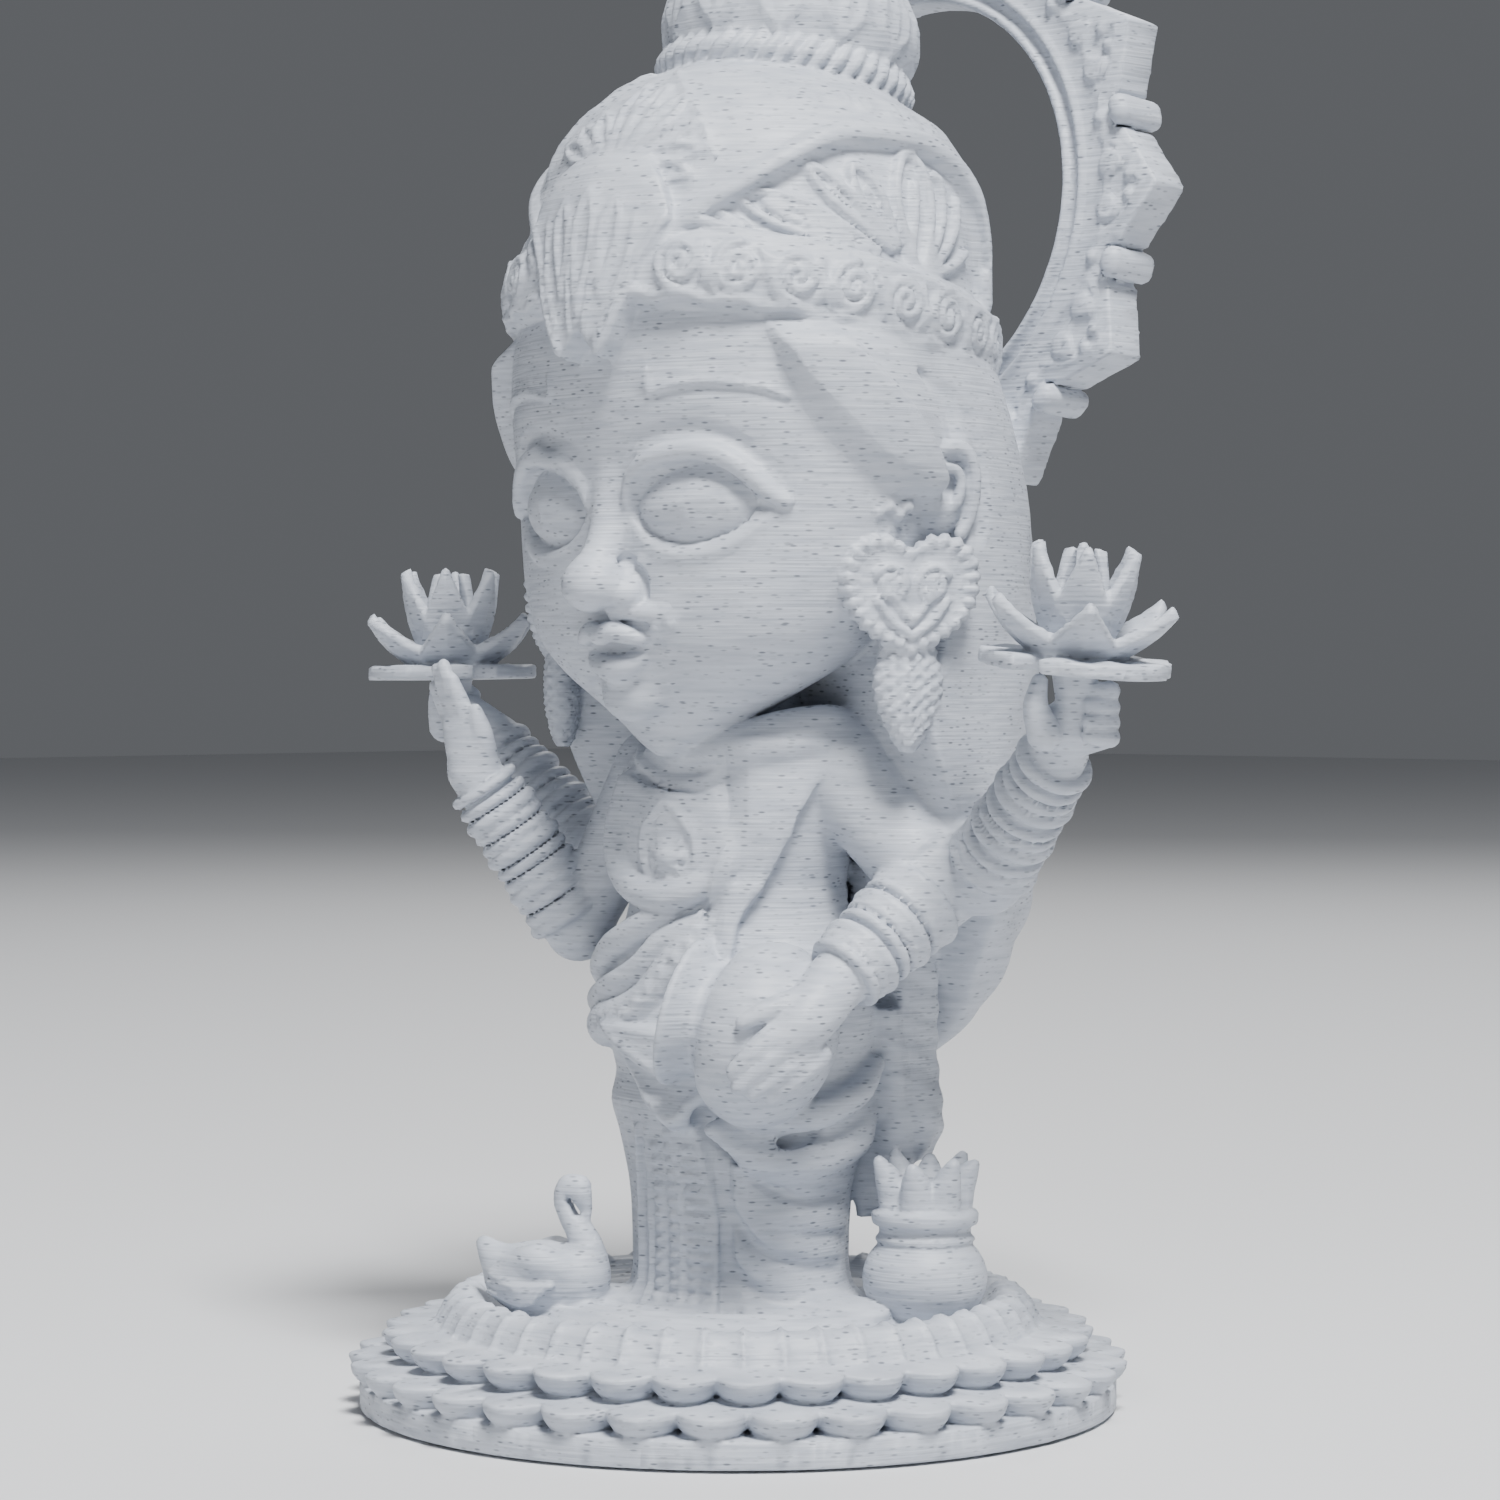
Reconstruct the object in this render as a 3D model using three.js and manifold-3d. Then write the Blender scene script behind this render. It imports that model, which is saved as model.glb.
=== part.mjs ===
// A small doll-like figurine of the goddess Lakshmi, printed in one piece in marble-coloured plastic.
// She stands on a round lotus base, with four arms, a turban crown, a veil and a toothed halo ring.
// Millimetres, +Z up. The origin is the middle of the underside, and she faces -Y.
import * as THREE from 'three';
import { mergeVertices } from 'three/addons/utils/BufferGeometryUtils.js';
import Module from 'manifold-3d';

const wasm = await Module();
wasm.setup();

const TAU = Math.PI * 2;

// Driving dimensions of the base
const DISC_RADIUS = 42;
const DISC_HEIGHT = 3;
const PETALS_PER_ROW = 34;
const BAND_RADIUS = 33.2;
const BAND_CREST_RADIUS = 30.2;
const BAND_CREST_HEIGHT = 12.3;
const FLOOR_RADIUS = 26.2;
const FLOOR_HEIGHT = 10.2;

// Driving dimensions of the figure
const EYE_X = 12.4;
const EYE_HEIGHT = 99.3;
const CROWN_TILT = THREE.MathUtils.degToRad(12);
const CROWN_SEAT = new THREE.Vector3(0, 1.4, 115);
const LOTUS_X = 48;
const LOTUS_HEIGHT = 81.2;
const LEAF_RADIUS = 10;
const LEAF_THICKNESS = 1.5;
const LEFT_LOTUS_TIP = 5;
const RIGHT_LOTUS_TIP = -1;

// Where the small things sit
const HELD_POT_CENTRE = [12.8, -10.4, 41.6];
const LEAF_POT_PLACE = [21.4, 7.2, FLOOR_HEIGHT];
const SWAN_PLACE = [-13.2, -17.4, FLOOR_HEIGHT - 0.2];
const SWAN_TURN = 28;
const EARRING_PLACE = [26.2, -0.7, 90];
const EARRING_THICKNESS = 3.6;
const EARRING_TURN = Math.PI / 3;

// The head from the chin up: [z, centre y, half width, front depth, back depth, centre x]
const HEAD_KEYS = [
  [72.3, -10.4, 2.2, 1.6, 2, 0],
  [73.6, -10, 7.4, 4.6, 6, 0],
  [75.6, -9.4, 11.6, 7, 9, 0],
  [78.2, -8.4, 15.6, 9.4, 11.5, 0],
  [81.2, -7.3, 18.8, 11.4, 14, 0],
  [85, -6, 22, 13.6, 17, 0],
  [90, -4.2, 24.6, 16, 20, 0],
  [95, -2.8, 26.2, 17.4, 22.5, 0],
  [100, -2, 27, 18.4, 24, 0],
  [106, -1.5, 27.4, 20, 25, 0],
  [112, -1, 27.4, 21.6, 26, 0],
  [119, 0, 26.4, 22.4, 25.5, 0],
  [125, 1, 23, 20, 22, 0],
];

// Crown profile above its seat: [radius, height]
const CROWN_PROFILE = [
  [0, 0.4],
  [26.4, 0.4],
  [28.7, 3],
  [28.6, 7.6],
  [27, 9],
  [27.2, 16],
  [24.8, 23.4],
  [20.6, 28.2],
  [13.8, 31.4],
  [13.9, 34.4],
  [15, 37.4],
  [14.2, 41.6],
  [9.6, 46.4],
  [2.8, 48.6],
  [0, 52.4],
];

// Driving dimensions of the halo
const HALO_CENTRE = new THREE.Vector3(0, 27.2, 135);
const HALO_LEAN = THREE.MathUtils.degToRad(4.8);
const HALO_INNER_RADIUS = 24;
const HALO_ROOT_RADIUS = 31.5;
const HALO_TIP_RADIUS = 37.6;
const HALO_THICKNESS = 5.3;
const HALO_TEETH = 12;

// Turns a closed geometry into a solid: shared corners are merged, slivers dropped, faces turned out.
function toSolid(geometry) {
  const bare = geometry.clone();
  bare.deleteAttribute('normal');
  bare.deleteAttribute('uv');
  const merged = mergeVertices(bare, 1e-4);
  const points = merged.attributes.position;
  const corners = merged.index.array;
  const kept = [];
  let sixVolumes = 0;
  const a = new THREE.Vector3();
  const b = new THREE.Vector3();
  const c = new THREE.Vector3();
  for (let i = 0; i < corners.length; i += 3) {
    const [p, q, r] = [corners[i], corners[i + 1], corners[i + 2]];
    if (p === q || q === r || r === p) continue;
    kept.push(p, q, r);
    a.fromBufferAttribute(points, p);
    b.fromBufferAttribute(points, q);
    c.fromBufferAttribute(points, r);
    sixVolumes += a.dot(b.cross(c));
  }
  if (sixVolumes < 0) kept.reverse();
  const mesh = new wasm.Mesh({
    numProp: 3,
    vertProperties: new Float32Array(points.array),
    triVerts: new Uint32Array(kept),
  });
  return new wasm.Manifold(mesh);
}

// Turns a solid back into a geometry. Small hollows that the joined parts close in are filled:
// only the triangles that hang together with the lowest corner, the outer skin, are kept.
function toGeometry(solid) {
  const mesh = solid.getMesh();
  const corners = mesh.triVerts;
  const leader = Array.from({ length: mesh.vertProperties.length / 3 }, (_, corner) => corner);
  const lead = (corner) => {
    while (leader[corner] !== corner) {
      leader[corner] = leader[leader[corner]];
      corner = leader[corner];
    }
    return corner;
  };
  for (let i = 0; i < corners.length; i += 3) {
    leader[lead(corners[i + 1])] = lead(corners[i]);
    leader[lead(corners[i + 2])] = lead(corners[i]);
  }
  let lowest = 0;
  for (let corner = 0; corner < leader.length; corner++) {
    if (mesh.vertProperties[corner * 3 + 2] < mesh.vertProperties[lowest * 3 + 2]) lowest = corner;
  }
  const skin = lead(lowest);
  const kept = [];
  for (let i = 0; i < corners.length; i += 3) {
    if (lead(corners[i]) === skin) kept.push(corners[i], corners[i + 1], corners[i + 2]);
  }
  const geometry = new THREE.BufferGeometry();
  geometry.setAttribute('position', new THREE.Float32BufferAttribute(mesh.vertProperties, 3));
  geometry.setIndex(kept);
  geometry.computeVertexNormals();
  return geometry;
}

// Joins a list of solids pairwise.
function join(solids) {
  return solids.reduce((whole, next) => whole.add(next));
}

// The same solid on the other side of the figure.
function mirrored(geometry) {
  return geometry.clone().scale(-1, 1, 1);
}

// A value between keys [[at, value, ...]], eased so that the stack of rings has no corners.
function between(keys, at, column) {
  const last = keys.length - 1;
  let i = 0;
  while (i < last - 1 && at > keys[i + 1][0]) i++;
  const before = keys[Math.max(i - 1, 0)];
  const start = keys[i];
  const end = keys[i + 1];
  const after = keys[Math.min(i + 2, last)];
  const t = THREE.MathUtils.clamp((at - start[0]) / (end[0] - start[0]), 0, 1);
  const slopeStart = (end[column] - before[column]) / (end[0] - before[0]);
  const slopeEnd = (after[column] - start[column]) / (after[0] - start[0]);
  const span = end[0] - start[0];
  const h = 2 * t ** 3 - 3 * t ** 2 + 1;
  const g = t ** 3 - 2 * t ** 2 + t;
  return h * start[column] + g * slopeStart * span
    + (1 - h) * end[column] + (t ** 3 - t ** 2) * slopeEnd * span;
}

// A curved plate. place(u, v, w) gives a corner at u across and v along, each from 0 to 1,
// with w 0 on the inner face and 1 on the outer face.
function sheet(columns, rows, place) {
  const geometry = new THREE.BoxGeometry(1, 1, 1, columns, rows, 1);
  const position = geometry.attributes.position;
  for (let i = 0; i < position.count; i++) {
    position.setXYZ(i, ...place(position.getX(i) + 0.5, position.getY(i) + 0.5, position.getZ(i) + 0.5));
  }
  return geometry;
}

// A body of stacked ovals. Each key is [z, centre y, half width, front depth, back depth, centre x].
// relief(angle, z) adds to the radius; angle 0 looks to the front, a quarter turn to her left.
function stacked(keys, rows, segments, relief = () => 0, shift = () => 0) {
  const bottom = keys[0][0];
  const top = keys[keys.length - 1][0];
  const profile = [];
  for (let row = 0; row <= rows; row++) {
    profile.push(new THREE.Vector2(1, bottom + (top - bottom) * row / rows));
  }
  profile.unshift(new THREE.Vector2(0, bottom));
  profile.push(new THREE.Vector2(0, top));
  const geometry = new THREE.LatheGeometry(profile, segments);
  const position = geometry.attributes.position;
  for (let i = 0; i < position.count; i++) {
    const row = i % profile.length;
    const angle = (Math.floor(i / profile.length) % segments) / segments * TAU;
    const z = profile[row].y;
    const out = profile[row].x;
    const swell = out * relief(angle, z);
    const depth = between(keys, z, Math.cos(angle) > 0 ? 3 : 4);
    const x = Math.sin(angle) * (out * between(keys, z, 2) + swell);
    const y = between(keys, z, 1) - Math.cos(angle) * (out * depth + swell);
    position.setXYZ(i, x + between(keys, z, 5), y + shift(x, z, angle), z);
  }
  return geometry;
}

// A turned body about the Z axis from a profile of [radius, height] points that starts and ends at radius 0.
function turned(profile, segments) {
  const points = profile.map(([radius, height]) => new THREE.Vector2(radius, height));
  return new THREE.LatheGeometry(points, segments).rotateX(Math.PI / 2);
}

// Lays a body that was made along +Z, from the origin, along the line between two places.
function along(geometry, from, to) {
  const direction = to.clone().sub(from).normalize();
  const turn = new THREE.Quaternion().setFromUnitVectors(new THREE.Vector3(0, 0, 1), direction);
  return geometry.applyQuaternion(turn).translate(from.x, from.y, from.z);
}

// A tapering limb with round ends, with bangles ringed round part of it.
function limb(from, to, startRadius, endRadius, segments, bangles = null) {
  const length = from.distanceTo(to);
  const profile = [[0, -startRadius * 0.7]];
  const radiusAt = (height) => startRadius + (endRadius - startRadius) * height / length;
  profile.push([startRadius, 0]);
  if (bangles) {
    const pitch = (bangles.end - bangles.start) / bangles.count;
    for (let i = 0; i < bangles.count; i++) {
      const low = bangles.start + i * pitch;
      profile.push([radiusAt(low) + bangles.proud * 0.15, low]);
      profile.push([radiusAt(low) + bangles.proud, low + pitch * 0.5]);
    }
    profile.push([radiusAt(bangles.end), bangles.end]);
  }
  profile.push([endRadius, length]);
  profile.push([0, length + endRadius * 0.7]);
  return along(turned(profile, segments), from, to);
}

// A ball squeezed to three half sizes, turned by Euler angles.
function ovoid(centre, half, turn = [0, 0, 0], around = 12, rows = 8) {
  const geometry = new THREE.SphereGeometry(1, around, rows).rotateX(Math.PI / 2);
  geometry.scale(half[0], half[1], half[2]);
  geometry.applyQuaternion(new THREE.Quaternion().setFromEuler(new THREE.Euler(...turn)));
  return geometry.translate(centre[0], centre[1], centre[2]);
}

// A bar of round section along a smooth curve through places.
function roundBar(places, radius, steps, sides = 6) {
  const curve = new THREE.CatmullRomCurve3(places.map((place) => new THREE.Vector3(...place)));
  const corners = [];
  for (let i = 0; i < sides; i++) {
    const angle = i / sides * TAU;
    corners.push(new THREE.Vector2(radius * Math.cos(angle), radius * Math.sin(angle)));
  }
  const section = new THREE.Shape(corners);
  return new THREE.ExtrudeGeometry(section, { steps, extrudePath: curve, bevelEnabled: false });
}

function vector(x, y, z) {
  return new THREE.Vector3(x, y, z);
}

// Round base without its petals: foot disc, rounded band and the floor inside it.
function makeBaseCore() {
  return turned([
    [0, 0],
    [DISC_RADIUS, 0],
    [DISC_RADIUS, DISC_HEIGHT],
    [34, DISC_HEIGHT],
    [BAND_RADIUS, 8.8],
    [BAND_RADIUS - 1.2, 11.2],
    [BAND_CREST_RADIUS, BAND_CREST_HEIGHT],
    [BAND_CREST_RADIUS - 2.2, 11.8],
    [FLOOR_RADIUS, FLOOR_HEIGHT],
    [0, FLOOR_HEIGHT],
  ], PETALS_PER_ROW);
}

// The two rows of petals as one ring. Each row of corners is [radius and height in the notch between
// two petals, radius and height on the petal, turn as a share of the pitch].
function makeBasePetals() {
  const rows = [
    { notch: [33, 2.4], petal: [33, 2.4], turn: 0 },
    { notch: [38, 4.4], petal: [41, 3], turn: 0 },
    { notch: [40.4, 5.5], petal: [43.3, 5.4], turn: 0 },
    { notch: [36.2, 5.9], petal: [36.2, 5.9], turn: 0.5 },
    { notch: [35.6, 7.6], petal: [37.8, 6.4], turn: 0.5 },
    { notch: [36.8, 8.7], petal: [39.6, 8.6], turn: 0.5 },
    { notch: [31.6, 8.9], petal: [31.6, 8.9], turn: 0.5 },
  ];
  const segments = PETALS_PER_ROW * 2;
  const profile = [...rows, rows[0]].map((row, index) => new THREE.Vector2(row.notch[0], index));
  const geometry = new THREE.LatheGeometry(profile, segments);
  const position = geometry.attributes.position;
  for (let i = 0; i < position.count; i++) {
    const row = rows[i % profile.length % rows.length];
    const column = Math.floor(i / profile.length) % segments;
    const angle = (column / 2 + row.turn) / PETALS_PER_ROW * TAU;
    const [radius, height] = column % 2 ? row.petal : row.notch;
    position.setXYZ(i, radius * Math.cos(angle), radius * Math.sin(angle), height);
  }
  return geometry;
}

// Skirt with its pleat panel in front, swags over her left leg, and a hem that spreads on the floor.
function makeSkirt() {
  const keys = [
    [FLOOR_HEIGHT - 1, 0.5, 16, 14.5, 13, 0.5],
    [11.6, 0.5, 15.2, 13.4, 12.2, 0.5],
    [13, 0.3, 13.2, 11.6, 11.2, 0.4],
    [17, 0.2, 12.8, 11.4, 11, 0.3],
    [24, 0.3, 13.2, 11.8, 11.6, 0.3],
    [30, 0.6, 14.6, 12.6, 13, 0.2],
    [36, 0.6, 16.6, 13.4, 14, 0],
    [42, 0.4, 18.6, 14, 13.6, -0.2],
    [47, 0.2, 17, 12.6, 12.2, 0],
    [52, 0, 14.2, 11, 10.8, 0],
    [56, 0, 12.6, 9.8, 9.8, 0],
  ];
  const relief = (angle, z) => {
    const fade = THREE.MathUtils.clamp((36 - z) / 10, 0, 1);
    const turn = angle > Math.PI ? angle - TAU : angle;
    const swag = Math.sin(z * 1.05 - Math.abs(turn - 1.35) * 2.4);
    const side = Math.exp(-(((turn - 1.3) / 0.85) ** 2));
    const panel = Math.exp(-(((turn + 0.05) / 0.3) ** 4)) * 0.8;
    return fade * (side * swag * 0.75 + panel);
  };
  return stacked(keys, 10, 18, relief);
}

// Chest, belly and neck.
function makeTorso() {
  return stacked([
    [48, 0, 14.5, 11, 11, 0],
    [54, 0, 12.8, 9.9, 10, 0],
    [60, 0, 13.8, 10.6, 10.5, 0],
    [66, 0, 15, 10.8, 10.5, 0],
    [71, 0.5, 15, 9.8, 9.5, 0],
    [74, 1, 11.5, 8, 8, 0],
    [76.5, 0, 7.5, 7, 7.5, 0],
    [82, -1, 7, 7, 8, 0],
  ], 6, 14);
}

// Diagonal waist rolls, the pointed apron flaps under them and the garland round the chest jewel.
function makeDressing() {
  const parts = [];
  const rolls = [
    { z: 52.5, radius: 1.9, rx: 13.6, ry: 10.9 },
    { z: 48.6, radius: 2.2, rx: 15.4, ry: 12.2 },
    { z: 44.2, radius: 2.6, rx: 17.2, ry: 13.4 },
  ];
  for (const roll of rolls) {
    const places = [];
    for (let step = 0; step <= 6; step++) {
      const angle = -1.75 + step / 6 * 2.75;
      places.push([Math.sin(angle) * roll.rx, -Math.cos(angle) * roll.ry, roll.z + (angle + 0.4) * 2.6]);
    }
    parts.push(toSolid(roundBar(places, roll.radius, 6, 4)));
  }
  for (const flap of [{ top: 42, tip: 31, half: 9, y: -12.6 }, { top: 43, tip: 35, half: 7.5, y: -13.4 }]) {
    const leaf = new THREE.Shape();
    leaf.moveTo(-flap.half, flap.top);
    leaf.lineTo(-flap.half * 0.9, flap.top - 4);
    leaf.lineTo(0, flap.tip);
    leaf.lineTo(flap.half * 0.9, flap.top - 4);
    leaf.lineTo(flap.half, flap.top);
    const plate = new THREE.ExtrudeGeometry(leaf, { depth: 3, bevelEnabled: false });
    parts.push(toSolid(plate.rotateX(Math.PI / 2).translate(-1.5, flap.y + 2.4, 0)));
  }
  const garland = [];
  for (let step = 0; step <= 14; step++) {
    const angle = -2.5 + step / 14 * 5;
    garland.push([Math.sin(angle) * 7.2, -10.6 + Math.abs(angle) ** 2 * 0.25, 63 - Math.cos(angle) * 7.4]);
  }
  parts.push(toSolid(roundBar(garland, 1.7, 8, 4)));
  parts.push(toSolid(ovoid([0, -10.4, 61.3], [3, 1.8, 3], [0, 0, 0], 6, 4)));
  const strap = [[-7, -9.4, 73], [2, -9.6, 72.2], [10, -7.2, 73.4], [13.5, 0, 75.4], [11, 7, 75]];
  parts.push(toSolid(roundBar(strap, 2.1, 5, 4)));
  return join(parts);
}

// Where the front of the face lies at a place across and up it.
function faceY(x, z) {
  const across = x / between(HEAD_KEYS, z, 2);
  return between(HEAD_KEYS, z, 1) - between(HEAD_KEYS, z, 3) * Math.sqrt(Math.max(0, 1 - across ** 2));
}

// Nose, lips, and eyes with their lids.
function makeFeatures() {
  const parts = [];
  parts.push(toSolid(ovoid([0, faceY(0, 92) + 0.2, 92.6], [2.1, 2.6, 6.4], [0.28, 0, 0], 4, 4)));
  parts.push(toSolid(ovoid([0, faceY(0, 89) - 2.2, 89.4], [3.9, 3.1, 2.5], [0, 0, 0], 8, 4)));
  parts.push(toSolid(ovoid([0, faceY(0, 84) - 0.1, 84.9], [4.9, 1.9, 0.95], [0, 0, 0], 6, 4)));
  parts.push(toSolid(ovoid([0, faceY(0, 82) - 0.1, 82.6], [4.2, 1.9, 1.15], [0, 0, 0], 6, 4)));
  for (const side of [-1, 1]) {
    const eyeY = faceY(EYE_X, EYE_HEIGHT);
    const turn = Math.atan2(side * 0.42, 1);
    parts.push(toSolid(ovoid([side * EYE_X, eyeY + 0.3, EYE_HEIGHT], [6.4, 1.5, 4.3], [0, 0, turn], 10, 4)));
    const lid = [];
    for (let step = 0; step <= 6; step++) {
      const angle = 0.1 + step / 6 * (Math.PI - 0.2);
      const x = EYE_X + Math.cos(angle) * 7.2;
      const z = EYE_HEIGHT - 0.4 + Math.sin(angle) * 5.6;
      lid.push([side * x, faceY(x, z) - 0.1, z]);
    }
    parts.push(toSolid(roundBar(lid, 0.85, 5, 3)));
  }
  return join(parts);
}

// Ears, the leaf-shaped hair locks in front of them, heart earrings and their beaded pendants.
function makeSides() {
  const lock = sheet(2, 4, (u, v, w) => {
    const across = (u - 0.5) * 2 * (0.15 + 3.3 * Math.sin(Math.PI * v) ** 0.8);
    const angle = 0.77 + v * 0.52 + v * v * 0.33 + across * 0.026;
    const z = 118.6 - v * 20 + across * 0.7;
    const out = w === 0 ? -1.5 : 0.2 + 2.1 * Math.sin(Math.PI * u) * Math.sin(Math.PI * v) ** 0.6;
    return [
      Math.sin(angle) * (between(HEAD_KEYS, z, 2) + out),
      between(HEAD_KEYS, z, 1) - Math.cos(angle) * (between(HEAD_KEYS, z, 3) + out),
      z,
    ];
  });
  const heart = new THREE.Shape();
  heart.moveTo(0, -6.4);
  heart.bezierCurveTo(-4, -4.6, -8.4, -1.6, -7.5, 2.6);
  heart.bezierCurveTo(-6.6, 6.6, -1.6, 6.9, 0, 4.4);
  heart.bezierCurveTo(1.6, 6.9, 6.6, 6.6, 7.5, 2.6);
  heart.bezierCurveTo(8.4, -1.6, 4, -4.6, 0, -6.4);
  const earring = new THREE.ExtrudeGeometry(heart, {
    depth: EARRING_THICKNESS, curveSegments: 3, bevelEnabled: false,
  });
  earring.rotateX(Math.PI / 2).rotateZ(EARRING_TURN).translate(...EARRING_PLACE);
  const ear = ovoid([27.4, 4.4, 101.4], [1.9, 3.8, 4.9], [0, 0, 0], 6, 4);
  const drop = stacked([
    [72.2, 0, 0.8, 0.8, 0.8, 0],
    [75, 0, 1.8, 2.8, 2.8, 0],
    [79, 0, 2.1, 3.8, 3.8, 0],
    [84.6, 0, 1.8, 2.8, 2.8, 0],
  ], 3, 7).rotateZ(-Math.PI / 6).translate(26.4, -1.4, 0);
  return join([lock, earring, ear, drop].flatMap((shape) => [toSolid(shape), toSolid(mirrored(shape))]));
}

// Hair and veil: they start under the crown, spread behind the ears and arms, and end in a round tail.
function makeVeil() {
  const keys = [
    [33, 20.8, 5, 2.6, 3, 0],
    [37, 20, 8, 3, 4.6, 0],
    [42, 18.8, 16, 3.2, 9, 0],
    [48, 17, 21.4, 3.4, 12.6, 0],
    [56, 15, 27.4, 3.8, 16, 0],
    [66, 13, 28.4, 4.4, 20.4, 0],
    [78, 11, 28.8, 6, 24, 0],
    [88, 9.6, 28.6, 7, 25.4, 0],
    [98, 8, 28.4, 6, 26, 0],
    [108, 6, 28, 6, 25, 0],
    [116, 3.6, 27, 10, 23.8, 0],
    [122, 3, 24, 10, 21, 0],
  ];
  const forward = [
    [40, 0],
    [56, 3],
    [66, 8],
    [76, 10.5],
    [84, 7],
    [90, 3],
    [98, 0],
  ];
  const relief = (angle, z) => {
    const fade = THREE.MathUtils.clamp((104 - z) / 30, 0, 1);
    return Math.cos(angle) < -0.1 ? fade * 0.7 * Math.cos(angle * 7) : 0;
  };
  const wrap = (x, z, angle) => {
    const share = THREE.MathUtils.clamp(1 + 1.4 * Math.cos(angle), 0, 1);
    return z < 40 ? 0 : -between(forward, Math.min(z, 98), 1) * (x / 29) ** 2 * share;
  };
  return stacked(keys, 8, 18, relief, wrap);
}

// Crown, made upright on its own seat and then leaned back: band, dome, beaded band and topknot.
function makeCrown() {
  const onCrown = (angle, height, out) => {
    const above = CROWN_PROFILE.findIndex((point, index) => index > 0 && point[1] > height);
    const [low, high] = [CROWN_PROFILE[above - 1], CROWN_PROFILE[above]];
    const share = Math.max(0, (height - low[1]) / (high[1] - low[1]));
    const radius = Math.max(low[0], 26.4) * (1 - share) + high[0] * share + out;
    return [Math.sin(angle) * radius, -Math.cos(angle) * radius, height];
  };
  const flapWidths = [
    [-5.4, 0.15],
    [-1.7, 0.2],
    [4.5, 0.31],
    [9, 0.39],
    [13, 0.32],
    [17.4, 0.2],
  ];
  const flapHems = [-2.4, -5.4, -2.6, -5.4, -2.4];
  const flap = sheet(4, 5, (u, v, w) => {
    const hem = flapHems[Math.round(u * 4)];
    const height = hem + (17.4 - hem) * v;
    const angle = (u - 0.5) * 2 * between(flapWidths, height, 1);
    return onCrown(angle, height, w === 0 ? -2.5 : 4.2 - 3.2 * v - Math.abs(u - 0.5) * 1.6);
  });
  const arch = [
    [0.3, 5.4],
    [0.44, 9.8],
    [0.65, 14.1],
    [1.08, 21.4],
    [1.5, 23.6],
    [1.86, 21.6],
    [2.06, 15.5],
  ].map(([angle, height]) => onCrown(angle, height, -0.4));
  const rib = roundBar(arch, 1.4, 8, 3);
  const degrees = THREE.MathUtils.radToDeg(CROWN_TILT);
  return join([toSolid(turned(CROWN_PROFILE, 18)), toSolid(flap), toSolid(rib), toSolid(mirrored(rib))])
    .rotate([-degrees, 0, 0])
    .translate([CROWN_SEAT.x, CROWN_SEAT.y, CROWN_SEAT.z]);
}

// Halo ring: a flat toothed plate with a round hole, and a knob between each two teeth.
function makeHalo() {
  const outline = new THREE.Shape();
  const step = TAU / HALO_TEETH;
  const corners = [
    [-0.5, HALO_ROOT_RADIUS + 2],
    [-0.4, HALO_ROOT_RADIUS],
    [-0.3, 34.4],
    [0, HALO_TIP_RADIUS],
    [0.3, 34.4],
    [0.4, HALO_ROOT_RADIUS],
  ];
  for (let tooth = 0; tooth < HALO_TEETH; tooth++) {
    corners.forEach(([offset, radius], index) => {
      const angle = (tooth + offset) * step;
      const place = [radius * Math.cos(angle), radius * Math.sin(angle)];
      if (tooth === 0 && index === 0) outline.moveTo(...place);
      else outline.lineTo(...place);
    });
  }
  outline.closePath();
  const hole = new THREE.Path();
  hole.absarc(0, 0, HALO_INNER_RADIUS, 0, TAU, true);
  outline.holes.push(hole);
  const plate = new THREE.ExtrudeGeometry(outline, {
    depth: HALO_THICKNESS, curveSegments: 12, bevelEnabled: false,
  });
  const lean = THREE.MathUtils.radToDeg(HALO_LEAN);
  return toSolid(plate)
    .translate([0, 0, -HALO_THICKNESS])
    .rotate([90 - lean, 0, 0])
    .translate([HALO_CENTRE.x, HALO_CENTRE.y, HALO_CENTRE.z]);
}

// A hand: palm and closed fingers as one curved plate, and a thumb. spread is the palm's width direction,
// and the fingers bend to the palm by curl, a share of the length.
function makeHand(wrist, direction, spread, length, curl) {
  const forward = direction.clone().normalize();
  const wide = spread.clone().addScaledVector(forward, -spread.dot(forward)).normalize();
  const palmSide = forward.clone().cross(wide).normalize();
  const fingerEnds = [0.9, 1, 1, 0.96, 0.84];
  const plate = sheet(4, 3, (u, v, w) => {
    const reach = v * length * (1 - (1 - fingerEnds[Math.round(u * 4)]) * v);
    const half = 2.4 + 5 * v * (1 - v) + 0.6 * v;
    const thick = (w - 0.5) * (3.4 - 1.6 * v) * (1 - 0.5 * Math.abs(u - 0.5));
    const place = wrist.clone().addScaledVector(forward, reach).addScaledVector(wide, (0.5 - u) * 2 * half);
    return place.addScaledVector(palmSide, curl * length * v * v - thick).toArray();
  });
  const thumbStart = wrist.clone().addScaledVector(forward, length * 0.16).addScaledVector(wide, 2);
  const thumbEnd = thumbStart.clone().addScaledVector(forward, length * 0.34).addScaledVector(wide, 2.4);
  return join([toSolid(plate), toSolid(limb(thumbStart, thumbEnd, 1.4, 0.9, 5))]);
}

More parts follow.
